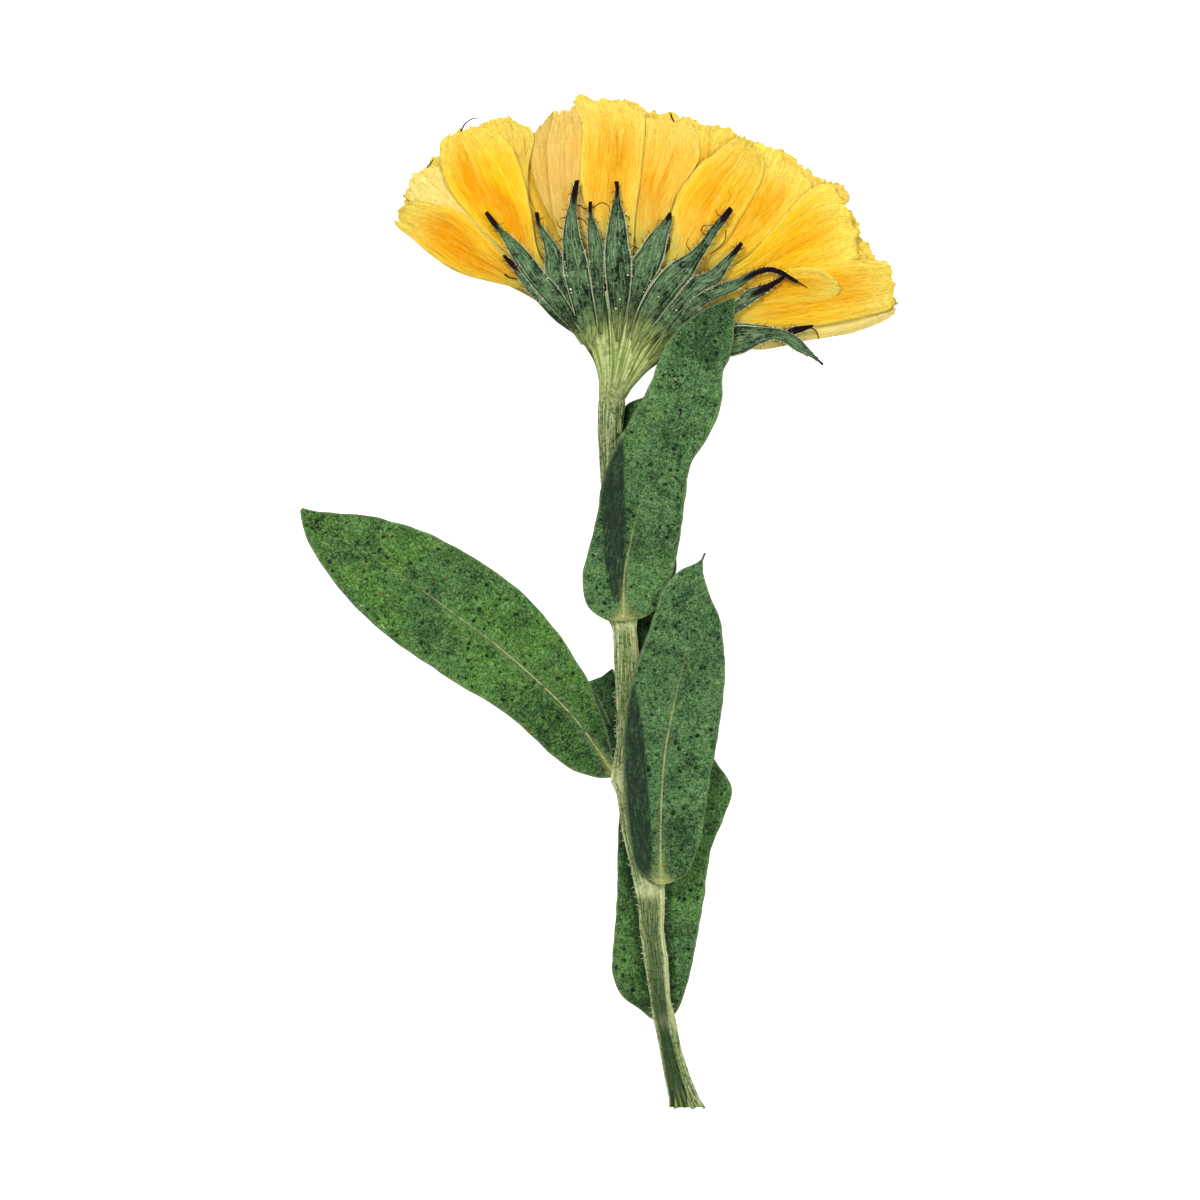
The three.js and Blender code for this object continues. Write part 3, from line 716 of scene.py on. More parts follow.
@dataclass
class Rays:
    """The ray florets: thin frilled petals in five layers, and the band that they root in.

    Attributes:
        chance: source of each petal's own texture.
        sheet: thickness of a petal.
        ring: distance of the roots from the heart.
        band: half-width of the band that they form.
        root_width: width of a hidden petal at its root.
        lean: direction in which the head leans, in degrees.
        spread: how much further from that direction a hidden petal roots than it points, as a factor.
        limits: directions between which the petals root.
        lift: height of a hidden petal's middle above its layer's underside.
        crown: how far a hidden petal's tip reaches past its corners.
        torn: how far a tip is cut back on the whole.
        wave, ripple, crinkle: heights of a petal's folds, its fine ripples and its crinkled tip.
        dip: how far its side edges hang.
        room: lowest and highest place of its middle in its layer.
    """

    chance: random.Random
    sheet: float = 0.16
    ring: float = 8.2
    band: float = 0.7
    root_width: float = 1.5
    lean: float = 83.0
    spread: float = 1.3
    limits: tuple[float, float] = (4.0, 152.0)
    lift: float = 0.3
    crown: float = 0.5
    torn: float = 0.35
    wave: float = 0.05
    ripple: float = 0.045
    crinkle: float = 0.15
    dip: float = 0.26
    room: tuple[float, float] = (0.09, 0.52)

    VALUES = ("grain", "orange", "pale", "tint", "near", "rim")
    # Cells across and along a petal in front and one behind
    FRONT_GRID = (26, 72)
    BACK_GRID = (18, 44)
    BAND_GRID = (20, 60)
    # Share of the room between the lowest and the highest layer that the roots' band takes up
    BAND_FILL = 0.94
    # Share of an edge from which its direction at the tip is read
    NEAR_TIP = 0.93
    # How far a resting petal comes down, over distance from the heart
    RESTING_DROP = ((26.0, 0.0), (29.2, 0.15))

    def half_width(self, widest: float, share: float) -> float:
        """Half a hidden petal's width at a share of its length, where it is widest mm wide."""
        return (self.root_width + (widest - self.root_width) * follow(PETAL_OUTLINE, share)) / 2

    def petals(self) -> list[Petal]:
        """All petals, those that show and those behind.

        Returns:
            The petals.
        """
        found = list(SEEN_PETALS)
        for tip_x, tip_y, width, bow, layer, rests in HIDDEN_PETALS:
            tip = Vector((tip_x, tip_y))
            turn = math.degrees(math.atan2(tip_y - HEART.y, tip_x - HEART.x))
            start = self.lean + self.spread * (turn - self.lean)
            root = around_heart(min(self.limits[1], max(self.limits[0], start)), self.ring)
            left, right = bowed_edges(root, tip, bow, partial(self.half_width, width))
            orange, pale = self.chance.uniform(0.2, 0.8), self.chance.uniform(0.0, 0.5)
            found.append(Petal(layer, self.lift, left, right, self.crown, orange, pale, bool(rests)))
        return found

    def shape(self, petal: Petal) -> Shape:
        """The form of a petal.

        Args:
            petal: which one.

        Returns:
            The function for Sheets.add.
        """
        left, right = Line(petal.left), Line(petal.right)
        length = (left.length + right.length) / 2
        end = ((left.at(1) - left.at(self.NEAR_TIP)) + (right.at(1) - right.at(self.NEAR_TIP))).normalized()
        grain = self.chance.uniform(0, 60)
        folds = self.chance.choice((3, 4, 5))
        phase = self.chance.uniform(0, 6.28)

        def cut_back(u: float) -> float:
            """How far the tip is cut back across it, by a frill, teeth and tears."""
            frill, teeth = ruffle(u * 2.3 + grain, 0.0, grain), ruffle(u * 7.5, 3.0, grain * 1.7)
            tears = ruffle(u * 24.0, 5.0, grain * 2.3)
            return self.torn + (0.55 * frill + 0.5 * teeth + 0.14 * tears) * petal.ragged

        def place(u: float, v: float) -> Spot:
            """A point of the petal, as Shape gives it."""
            share = v * (1.0 + (petal.crown * (1.0 - u * u) - cut_back(u)) / length)
            flat = left.at(share).lerp(right.at(share), (u + 1.0) / 2.0)
            flat += end * max(0.0, share - 1.0) * length
            distance = (flat - HEART).length
            floor = layer_underside(petal.layer, distance)
            floor -= follow(self.RESTING_DROP, distance) if petal.rests else 0.0
            spread = ease(0.1, 0.5, v)
            wave = self.wave * math.sin(folds * math.pi * u + phase + 2.0 * v) * spread
            crinkle = self.crinkle * ruffle(u * 4.0 + grain, v * 22.0, 1.0) * ease(0.7, 1.0, v)
            ripple = self.ripple * ruffle(u * 9.0 + grain, v * 3.0, 5.0) * spread
            dip = self.dip * abs(u) ** 5 * spread
            middle = petal.lift + wave + crinkle + ripple - dip
            values = {
                "grain": grain,
                "orange": petal.orange,
                "pale": petal.pale,
                "tint": petal.tint.value,
                "near": 1.0 - ease(9.0, 20.0, distance),
                # The rim carries a painted highlight along the edges and the tip
                "rim": max(ease(0.9, 0.99, abs(u)), ease(0.97, 0.995, v)),
            }
            return raised_to(floor + max(self.room[0], min(self.room[1], middle)), flat), values

        return place

    def build(self, finish: bpy.types.Material) -> list[bpy.types.Object]:
        """Makes the petals, one piece for each layer.

        Args:
            finish: their finish.

        Returns:
            The pieces.
        """
        petals, pieces = self.petals(), []
        for layer in range(TOP_LAYER + 1):
            grid = self.FRONT_GRID if layer > FIRST_FRONT_LAYER else self.BACK_GRID
            sheets = Sheets(f"petals_layer_{layer}", self.VALUES)
            for petal in (p for p in petals if p.layer == layer):
                sheets.add(*grid, self.shape(petal))
            piece = sheets.finish(finish, self.sheet)
            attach(piece, ROOT_BODY)
            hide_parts("ray_florets")
            pieces.append(piece)
        return pieces

    def roots(self, finish: bpy.types.Material) -> bpy.types.Object:
        """Makes the band in which all petals root.

        Args:
            finish: its finish.

        Returns:
            The piece.
        """
        sheets = Sheets("petal_roots", self.VALUES)
        low, high = layer_underside(0, 0.0), petal_top(0.0)
        first = self.limits[1] + 2.0

        def place(u: float, v: float) -> Spot:
            """A point of the band, as Shape gives it."""
            angle = round_angle(u)
            flat = around_heart(first * (1.0 - v), self.ring + self.band * math.cos(angle))
            height = (low + high) / 2 + (high - low) / 2 * self.BAND_FILL * math.sin(angle)
            return raised_to(height, flat), {"grain": 3.0, "orange": 0.2, "pale": 0.5, "near": 1.0}

        sheets.add(*self.BAND_GRID, place)
        sheets.close(0.001)
        piece = sheets.finish(finish)
        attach(piece, ROOT_BODY)
        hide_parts("ray_florets")
        return piece


@dataclass(frozen=True)
class Cup:
    """The form of the pressed cup between the stem and the petals.

    Attributes:
        foot: left and right end of its section at the stem.
        waist: left and right point that its sides bend towards.
        arc: directions of the rim's ends from the heart, in degrees.
        rim: distance of the rim from the heart.
        top: height of its upper side, from 0 at the stem to 1 at the rim.
        bottom: height of its underside there.
        squareness: how squarely its section ends at both sides.
        ribs: how many ribs it has from side to side.
        rib_depth: how deep the grooves between them are.
        spread: share of the way up it, over the share of a straight way to the rim.
    """

    foot: tuple[Point, Point] = ((-0.3, 24.0), (3.1, 24.0))
    waist: tuple[Point, Point] = ((0.6, 28.9), (4.4, 27.3))
    arc: tuple[float, float] = (157.0, 4.0)
    rim: float = 6.75
    top: Pairs = ((0.0, 3.25), (0.35, 3.9), (0.7, 5.5), (1.0, 6.6))
    bottom: Pairs = ((0.0, 1.45), (0.35, 1.2), (0.7, 0.7), (1.0, 0.3))
    squareness: int = 6
    ribs: int = 15
    rib_depth: float = 0.12
    spread: Pairs = ((0.0, 0.0), (0.41, 0.5), (1.0, 1.0))

    def point(self, across: float, up: float) -> Vector:
        """A point of the cup seen from above.

        Args:
            across: 0 at the left edge to 1 at the right.
            up: 0 at the stem to 1 at the rim.

        Returns:
            The point.
        """
        foot = Vector(self.foot[0]).lerp(Vector(self.foot[1]), across)
        waist = Vector(self.waist[0]).lerp(Vector(self.waist[1]), across)
        rim = around_heart(self.arc[0] + (self.arc[1] - self.arc[0]) * across, self.rim)
        return foot.lerp(waist, up).lerp(waist.lerp(rim, up), up)

    def share(self, point: Vector) -> float:
        """How far up the cup a point lies.

        Args:
            point: a point of the head's plane.

        Returns:
            0 at the stem, 1 at the rim and over 1 past it.
        """
        foot = self.point(0.5, 0.0)
        way = point - foot
        if way.length < TINY:
            return 0.0
        along = (HEART - foot).dot(way.normalized())
        aside = (HEART - foot).length_squared - along * along
        if aside >= self.rim * self.rim:
            return 0.0
        ratio = way.length / (along + math.sqrt(self.rim * self.rim - aside))
        return follow(self.spread, ratio) if ratio < 1 else ratio

    def heights(self, across: float, up: float) -> tuple[float, float]:
        """Lowest and highest point of the cup's rounded section.

        Args:
            across: 0 at the left edge to 1 at the right.
            up: 0 at the stem to 1 at the rim.

        Returns:
            The two heights.
        """
        top, bottom = follow(self.top, up), follow(self.bottom, up)
        middle = (top + bottom) / 2
        side = abs(2 * across - 1)
        groove = self.rib_depth * up * abs(math.sin(math.pi * self.ribs * across))
        half = (top - middle - groove) * (1 - side**self.squareness) ** (1 / self.squareness)
        return middle - half, middle + half


class CupTop:
    """The cup's upper surface, read by place."""

    COLUMNS = 48
    ROWS = 32
    # How many places near a point are read, and what keeps the nearest from counting alone
    NEAREST = 5
    SOFTNESS = 0.05

    def __init__(self, cup: Cup) -> None:
        """Lays out points of the cup and remembers their heights.

        Args:
            cup: its form.
        """
        self.heights = []
        self.tree = kdtree.KDTree((self.COLUMNS + 1) * (self.ROWS + 1))
        for i in range(self.COLUMNS + 1):
            for j in range(self.ROWS + 1):
                across, up = i / self.COLUMNS, j / self.ROWS
                self.tree.insert(raised_to(0.0, cup.point(across, up)), len(self.heights))
                self.heights.append(cup.heights(across, up)[1])
        self.tree.balance()

    def height(self, point: Vector) -> float:
        """Height of the cup's top near a point.

        Args:
            point: a point of the head's plane.

        Returns:
            The height at the nearest places, the nearer ones counting more.
        """
        near = self.tree.find_n(raised_to(0.0, point), self.NEAREST)
        weights = [1.0 / (gap + self.SOFTNESS) for _, _, gap in near]
        return sum(self.heights[i] * w for (_, i, _), w in zip(near, weights)) / sum(weights)


@dataclass(frozen=True)
class Bract:
    """One bract in front, between its two edges, each listed from the cup to the tip.

    Attributes:
        left: the edge on the left-hand side, seen from the cup.
        right: the edge on the right-hand side.
        raised: height of its sheet above its lowest neighbours, 0 to 1.
        tip: share of its length where the dark tip starts.
    """

    left: tuple[Point, ...]
    right: tuple[Point, ...]
    raised: float
    tip: float


# Bracts in front, from left to right
FRONT_BRACTS = (
    Bract(
        ((-2.6, 31.6), (-5.0, 33.1), (-7.1, 35.2), (-8.7, 36.9), (-10.2, 39.2), (-11.6, 41.2)),
        ((-2.0, 32.4), (-4.4, 34.6), (-7.0, 37.4), (-8.8, 39.2), (-10.2, 40.3), (-11.5, 41.3)),
        0.0, 0.8,
    ),
    Bract(
        ((-2.2, 30.6), (-3.7, 32.6), (-5.8, 34.8), (-7.8, 37.1), (-9.3, 39.0), (-10.5, 41.0),
         (-11.8, 43.5), (-12.7, 44.6), (-13.8, 46.3)),
        ((-1.2, 31.0), (-2.0, 32.6), (-3.5, 35.0), (-5.0, 37.3), (-6.9, 39.5), (-8.4, 41.4),
         (-10.1, 43.1), (-11.6, 44.3), (-12.2, 45.1), (-13.5, 46.6)),
        0.7, 0.87,
    ),
    Bract(
        ((-2.6, 32.2), (-3.9, 34.1), (-5.3, 36.7), (-6.6, 39.0), (-6.6, 40.1), (-6.7, 42.3),
         (-7.4, 44.6), (-7.6, 45.3), (-7.8, 46.4)),
        ((-2.4, 32.3), (-3.4, 35.0), (-4.0, 38.8), (-4.6, 41.4), (-6.0, 43.5), (-7.0, 44.8), (-7.4, 46.4)),
        0.2, 0.88,
    ),
    Bract(
        ((-1.5, 30.0), (-2.6, 32.4), (-3.3, 35.0), (-4.3, 38.8), (-4.5, 41.4), (-4.4, 44.0),
         (-3.9, 46.5), (-3.7, 47.1), (-3.4, 48.7), (-3.0, 50.2)),
        ((-0.8, 30.0), (-0.3, 32.4), (-0.7, 35.6), (-1.3, 39.3), (-1.8, 41.6), (-2.4, 43.5),
         (-2.8, 46.4), (-2.8, 47.0), (-2.6, 49.5), (-2.5, 50.3)),
        0.9, 0.87,
    ),
    Bract(
        ((0.1, 31.8), (-0.2, 32.8), (-0.5, 35.0), (-1.1, 38.8), (-1.4, 41.6), (-1.5, 43.1), (-1.4, 45.7),
         (-1.35, 47.6)),
        ((0.3, 31.8), (0.3, 34.5), (0.4, 38.2), (0.4, 41.0), (0.3, 42.5), (-0.3, 44.4), (-0.9, 46.1),
         (-1.0, 47.7)),
        0.3, 0.9,
    ),
    Bract(
        ((1.9, 31.0), (1.2, 34.5), (0.7, 38.2), (0.5, 40.5), (0.6, 42.7), (1.1, 45.3), (1.6, 47.8),
         (1.9, 49.1), (1.7, 50.1)),
        ((2.3, 31.0), (3.4, 35.6), (3.8, 38.8), (3.8, 40.5), (3.4, 42.7), (3.0, 45.5), (2.4, 47.6),
         (2.3, 48.7), (2.2, 50.1)),
        0.9, 0.9,
    ),
    Bract(
        ((3.1, 31.4), (3.5, 35.5), (3.7, 38.7), (3.8, 40.6), (4.7, 41.9), (5.7, 43.4), (7.5, 45.3),
         (8.2, 46.3)),
        ((3.4, 31.4), (4.2, 34.2), (5.7, 37.2), (7.0, 39.3), (7.7, 41.1), (8.1, 43.4), (8.6, 45.3),
         (8.5, 46.4)),
        0.3, 0.93,
    ),
    Bract(
        ((3.6, 29.6), (3.7, 31.6), (4.5, 34.6), (5.7, 37.0), (7.2, 39.1), (8.7, 40.4), (10.7, 41.5),
         (12.2, 43.0), (13.0, 44.3), (14.3, 45.7), (15.5, 47.1)),
        ((4.0, 29.6), (4.9, 31.2), (6.8, 33.3), (9.4, 36.6), (10.2, 37.6), (11.1, 38.7), (12.0, 40.6),
         (12.8, 41.9), (14.1, 44.1), (15.0, 45.2), (15.9, 46.7)),
        0.8, 0.89,
    ),
    Bract(
        ((4.2, 30.0), (6.2, 32.9), (8.7, 35.7), (10.2, 37.3), (11.0, 38.5), (12.8, 39.2), (14.7, 40.7),
         (16.2, 42.2), (16.8, 42.9)),
        ((4.8, 29.8), (7.5, 32.0), (10.0, 34.6), (11.7, 36.5), (13.0, 37.3), (14.4, 38.1), (15.4, 39.9),
         (16.7, 41.9), (17.1, 42.6)),
        0.3, 0.88,
    ),
    Bract(
        ((5.6, 29.0), (7.9, 32.4), (10.0, 34.9), (11.7, 36.4), (13.2, 37.2), (14.7, 37.9), (16.5, 38.4),
         (17.7, 39.1), (19.0, 39.6), (20.3, 39.8), (21.8, 39.4), (23.0, 38.7), (23.7, 38.2)),
        ((6.0, 28.6), (9.2, 31.6), (11.1, 34.0), (13.2, 35.7), (16.2, 37.0), (17.7, 38.1), (19.0, 38.9),
         (20.3, 39.25), (21.8, 38.85), (22.9, 38.3), (23.6, 38.0)),
        0.9, 0.68,
    ),
    Bract(
        ((11.0, 31.6), (15.2, 34.6), (16.4, 35.9), (17.5, 37.0), (19.9, 37.8), (22.0, 38.8)),
        ((11.2, 31.2), (16.0, 34.1), (17.5, 35.1), (19.2, 36.3), (22.1, 38.5)),
        0.2, 0.68,
    ),
    Bract(
        ((10.0, 30.2), (15.0, 33.0), (19.5, 32.8), (22.1, 32.3), (23.3, 32.7), (25.6, 33.0)),
        ((10.0, 29.4), (15.0, 30.2), (19.5, 31.2), (22.9, 31.7), (25.4, 32.6)),
        0.1, 0.6,
    ),
    Bract(
        ((9.0, 29.4), (13.0, 31.6), (16.2, 32.8), (18.6, 32.7), (20.7, 32.5), (22.2, 32.2), (24.0, 31.2),
         (25.2, 29.9), (26.8, 28.3)),
        ((9.2, 28.2), (13.0, 28.6), (15.4, 29.0), (17.0, 29.4), (18.8, 30.4), (20.7, 31.2), (22.0, 30.8),
         (23.5, 29.8), (25.2, 29.1), (26.7, 28.1)),
        0.9, 0.97,
    ),
)
# Bracts behind: tip x, tip y, widest, bow, place along the rim, and 1 where it is set lower on the cup
BACK_BRACTS = (
    (-10.8, 40.6, 2.6, -0.1, 0.06, 0),
    (-11.9, 44.3, 2.9, 0.6, 0.12, 1),
    (-9.4, 46.9, 2.7, 0.5, 0.19, 0),
    (-4.7, 49.4, 3.1, 0.3, 0.28, 1),
    (-1.0, 48.2, 2.7, 0.0, 0.37, 0),
    (3.9, 50.3, 3.2, 0.0, 0.46, 1),
    (7.2, 47.7, 2.7, 0.0, 0.55, 0),
    (12.6, 48.1, 3.2, -0.5, 0.64, 1),
    (15.9, 45.0, 2.7, -0.5, 0.72, 0),
    (19.9, 42.7, 3.1, -0.6, 0.8, 1),
    (21.6, 38.2, 2.6, -0.3, 0.88, 0),
    (21.2, 31.2, 3.0, 0.0, 0.94, 0),
)
# Share of a back bract's full width over the share of its length
BRACT_OUTLINE = (
    (0.0, 0.12), (0.16, 0.4), (0.3, 0.86), (0.46, 1.0), (0.62, 0.74), (0.8, 0.4), (0.92, 0.2), (1.0, 0.08),
)


@dataclass
class Involucre:
    """The green cup under the head and the bracts that stand from it, in front and behind.

    Attributes:
        chance: source of small differences.
        cup: the cup's form.
        sheet: thickness of a bract.
        gap, seat: height of a front bract's middle above the petals' clearance and above the cup.
        step, cup_step: how much higher a raised bract lies over the petals and on the cup.
        crease, wave: heights of a front bract's crease and waves.
        sink: how far its foot sinks into the cup.
        low_side: distance from the heart up to which the bracts below it are held up, and their height.
        floors: height of a back bract's middle, for the upper and the lower ones.
        under: how far it lies under the cup.
        slim: width of the cup's foot, as a share of its outline.
        tuck: share of the cup's length that reaches back into the stem.
        fine: height of its fine lines.
    """

    chance: random.Random
    cup: Cup = Cup()
    sheet: float = 0.24
    gap: float = 0.12
    seat: float = 0.1
    step: float = 0.4
    cup_step: float = 0.12
    crease: float = 0.2
    wave: float = 0.06
    sink: float = 0.45
    low_side: tuple[float, float] = (16.0, 6.2)
    floors: tuple[float, float] = (0.5, 0.3)
    under: float = 0.12
    slim: float = 0.86
    tuck: float = 0.06
    fine: float = 0.03

    VALUES = ("way", "side", "grain", "foot")
    FRONT_GRID = (14, 64)
    BACK_GRID = (10, 40)
    CUP_GRID = (240, 48)
    # Where the stem runs into the cup; the bracts pale near it
    STALK = Vector((2.0, 25.0))
    PALE_FOOT = (6.5, 11.0)
    # Shares of the way up the cup where a back bract's middle line has its points
    BACK_SPINE = (0.2, 0.4, 0.6, 0.75, 0.92)
    # Place along the rim past which the bracts behind have a green tip
    GREEN_TIPPED = 0.9

    def __post_init__(self) -> None:
        """Reads the cup's upper surface."""
        self.top = CupTop(self.cup)

    def rest(self, point: Vector, raised: float) -> float:
        """Height of a bract's middle over the cup or the petals.

        Args:
            point: where.
            raised: 0 to 1.

        Returns:
            The height.
        """
        distance = (point - HEART).length
        free = petal_top(distance) + SEAT_GAP + self.gap + raised * self.step
        if point.y < HEART.y and distance < self.low_side[0]:
            free = max(free, self.low_side[1])
        on_cup = self.top.height(point) + self.seat + raised * self.cup_step
        return on_cup + (free - on_cup) * ease(self.cup.rim - 0.6, self.cup.rim + 1.4, distance)

    def front_shape(self, bract: Bract) -> Shape:
        """The form of a bract in front.

        Args:
            bract: which one.

        Returns:
            The function for Sheets.add.
        """
        left, right = Line(bract.left), Line(bract.right)
        grain = self.chance.uniform(0, 60)
        # The way from the cup to where the dark tip starts, and on to the end, as the finish reads it
        darkening = ((0.0, 0.0), (bract.tip, 0.8), (1.0, 1.0))

        def place(u: float, v: float) -> Spot:
            """A point of the bract, as Shape gives it."""
            flat = left.at(v).lerp(right.at(v), (u + 1.0) / 2.0)
            crease = self.crease * (1.0 - abs(u)) * (1.0 - ease(0.6, 1.0, v))
            wave = self.wave * ruffle(u * 2.0 + grain, v * 7.0, 0.0)
            reach = (flat - self.STALK).length
            sink = self.sink * (1.0 - ease(5.0, 9.0, reach))
            foot = 1.0 - ease(*self.PALE_FOOT, reach)
            values = {"way": follow(darkening, v), "side": abs(u), "grain": grain, "foot": foot}
            return raised_to(self.rest(flat, bract.raised) + crease + wave - sink, flat), values

        return place

    def back_shape(self, row: tuple[float, ...]) -> Shape:
        """The form of a bract behind.

        Args:
            row: its row of BACK_BRACTS.

        Returns:
            The function for Sheets.add.
        """
        tip_x, tip_y, width, bow, across, low = row
        rim = self.cup.point(across, 1.0)
        start = rim + (rim - HEART).normalized() * 0.2
        outer, _ = bowed_edges(start, Vector((tip_x, tip_y)), bow, lambda share: 0.0)
        spine = Line([tuple(self.cup.point(across, up)) for up in self.BACK_SPINE] + list(outer))
        grain = self.chance.uniform(0, 60)
        darkest = 0.7 if across > self.GREEN_TIPPED else 1.0

        def place(u: float, v: float) -> Spot:
            """A point of the bract, as Shape gives it."""
            aside = right_of(spine.way(v, 0.01)) * u * width / 2 * follow(BRACT_OUTLINE, v)
            flat = spine.at(v) + aside
            up = min(1.0, self.cup.share(flat))
            on_cup = self.cup.heights(across, up)[0] - self.under - low * self.cup_step
            out = ease(self.cup.rim - 1.5, self.cup.rim + 0.6, (flat - HEART).length)
            foot = 1.0 - ease(*self.PALE_FOOT, (flat - self.STALK).length)
            values = {"way": darkest * v, "side": abs(u), "grain": grain, "foot": foot}
            return raised_to(on_cup + (self.floors[int(low)] - on_cup) * out, flat), values

        return place

    def cup_wall(self, u: float, v: float) -> Spot:
        """A point of the cup, whose foot is drawn in and rounded to run into the stem.

        Args:
            u: round it, from -1 to 1.
            v: up it, from 0 to 1.

        Returns:
            Its place and its painted values.
        """
        angle = round_angle(u)
        across = (1.0 - math.cos(angle)) / 2.0
        up = max(0.0, v * (1.0 + self.tuck) - self.tuck)
        low, high = self.cup.heights(across, up)
        level_low, level_high = self.cup.heights(0.5, up)
        rounded = (level_high - level_low) / 2 * abs(math.sin(angle))
        half = rounded + ((high - low) / 2 - rounded) * ease(0.02, 0.26, v)
        slim = self.slim + (1.0 - self.slim) * ease(0.0, 0.16, v)
        flat = self.cup.point(0.5 + (across - 0.5) * slim, up)
        flat.y -= max(0.0, self.tuck - v) * 24.0
        fine = self.fine * math.sin(46.0 * math.pi * across) * ease(0.0, 0.3, v)
        side = 1.0 if math.sin(angle) >= 0 else -1.0
        return raised_to((low + high) / 2 + (half * slim + fine) * side, flat), {"up": v, "side": across}

    def build(self, bracts: bpy.types.Material, cup: bpy.types.Material) -> list[bpy.types.Object]:
        """Makes the cup and the bracts.

        Args:
            bracts, cup: their finishes.

        Returns:
            The pieces.
        """
        front = Sheets("bracts_front", self.VALUES)
        for bract in FRONT_BRACTS:
            front.add(*self.FRONT_GRID, self.front_shape(bract))
        back = Sheets("bracts_back", self.VALUES)
        for row in BACK_BRACTS:
            back.add(*self.BACK_GRID, self.back_shape(row))
        body = Sheets("cup", ("up", "side"))
        body.add(*self.CUP_GRID, self.cup_wall)
        body.close(0.002)
        pieces = [front.finish(bracts, self.sheet), back.finish(bracts, self.sheet), body.finish(cup)]
        for piece in pieces:
            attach(piece, ROOT_BODY)
            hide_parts("involucre")
        return pieces


@dataclass
class Disc:
    """The short tube florets between the front and the back petals, and the band that they stand on.

    Attributes:
        count: how many florets.
        arc: directions of the first and the last, in degrees.
        foot: distance of their feet from the heart.
        reach: distances of their mouths from the heart, in turn.
        height: room between the front and the back petals.
        flatness: share of that room that a mouth takes up.
        lobes: how deep the notches between a mouth's five lobes are.
        widths: half-width of a floret over the share of its length.
        band: distance of the band from the heart.
        band_size: half-width and half-height of the band.
    """

    count: int = 19
    arc: tuple[float, float] = (132.0, 34.0)
    foot: float = 9.7
    reach: tuple[float, float] = (13.4, 14.2)
    height: float = 0.7
    flatness: float = 0.85
    lobes: float = 0.25
    widths: Pairs = ((0.0, 0.3), (0.35, 0.27), (0.8, 0.24), (1.0, 0.42))
    band: float = 10.35
    band_size: tuple[float, float] = (0.6, 0.28)

    TUBE_GRID = (14, 12)
    BAND_GRID = (12, 50)

    def middle(self) -> float:
        """Height of the florets' middle, above the back petals."""
        return layer_underside(FIRST_FRONT_LAYER - 1, 0.0) + PETAL_SHEET + SEAT_GAP + self.height / 2

    def tube(self, degrees: float, reach: float, u: float, v: float) -> Spot:
        """A point of a floret.

        Args:
            degrees: the floret's direction.
            reach: distance of its mouth from the heart.
            u: round it, from -1 to 1.
            v: along it, from 0 to 1.

        Returns:
            Its place and its painted values.
        """
        angle = round_angle(u)
        notch = self.lobes * abs(math.sin(2.5 * angle)) * ease(0.9, 1.0, v)
        radius = self.foot + (reach - self.foot - notch) * v
        width = follow(self.widths, v)
        out = around_heart(degrees, 1.0) - HEART
        flat = HEART + out * radius + right_of(out) * width * math.cos(angle)
        swell = self.height / 2 * self.flatness * math.sin(angle) * width / self.widths[-1][1]
        return raised_to(self.middle() + swell, flat), {"way": v}

    def ledge(self, u: float, v: float) -> Spot:
        """A point of the band under the florets.

        Args:
            u: round it, from -1 to 1.
            v: along it, from 0 to 1.

        Returns:
            Its place and its painted values.
        """
        angle = round_angle(u)
        first, last = self.arc[0] - 2, self.arc[1] + 2
        flat = around_heart(first - (first - last) * v, self.band + self.band_size[0] * math.cos(angle))
        return raised_to(self.middle() + self.band_size[1] * math.sin(angle), flat), {"way": 0.0}

    def build(self, finish: bpy.types.Material) -> bpy.types.Object:
        """Makes the florets and their band.

        Args:
            finish: their finish.

        Returns:
            The piece.
        """
        sheets = Sheets("disc_tubes", ("way",))
        for i in range(self.count):
            degrees = self.arc[0] + (self.arc[1] - self.arc[0]) * i / (self.count - 1)
            sheets.add(*self.TUBE_GRID, partial(self.tube, degrees, self.reach[i % 2]))
        sheets.add(*self.BAND_GRID, self.ledge)
        sheets.close(0.001)
        piece = sheets.finish(finish)
        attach(piece, ROOT_BODY)
        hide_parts("disc_florets")
        return piece


# The stem: y, left edge, right edge, underside and thickness, from the head down to the cut end
STEM_STATIONS = (
    (25.6, 0.3, 2.5, 1.9, 0.9),
    (24.2, -0.2, 3.0, 1.6, 1.4),
    (23.7, -0.3, 3.1, 1.45, 1.8),
    (20.4, -0.4, 2.7, 1.45, 1.8),
    (14.4, 0.0, 2.7, 1.45, 1.8),
    (6.0, 0.6, 3.5, 1.45, 1.8),
    (0.6, 0.9, 4.2, 1.45, 1.8),
    (-1.2, 0.9, 4.6, 1.45, 1.8),
    (-3.6, 1.5, 4.4, 1.45, 1.8),
    (-7.0, 1.6, 4.8, 1.45, 1.8),
    (-10.8, 1.8, 4.9, 1.45, 1.8),
    (-17.3, 1.9, 5.2, 1.45, 1.8),
    (-19.8, 1.4, 5.5, 1.45, 1.8),
    (-21.9, 1.2, 5.6, 1.45, 1.8),
    (-23.2, 1.9, 5.7, 1.45, 1.8),
    (-27.6, 2.5, 6.1, 1.45, 1.8),
    (-31.2, 3.4, 6.7, 1.45, 1.8),
    (-34.2, 4.0, 7.8, 1.4, 1.85),
    (-36.6, 4.5, 7.8, 1.4, 1.8),
    (-39.6, 4.7, 7.7, 1.35, 1.8),
    (-43.2, 5.2, 8.2, 1.35, 1.8),
    (-48.0, 6.0, 8.5, 1.35, 1.75),
    (-50.2, 6.3, 9.1, 1.35, 1.8),
    (-54.0, 7.1, 9.8, 0.85, 1.8),
    (-57.6, 7.7, 11.0, 0.45, 1.8),
    (-60.0, 8.2, 12.0, 0.25, 1.8),
    (-61.0, 8.2, 12.7, 0.2, 1.8),
)


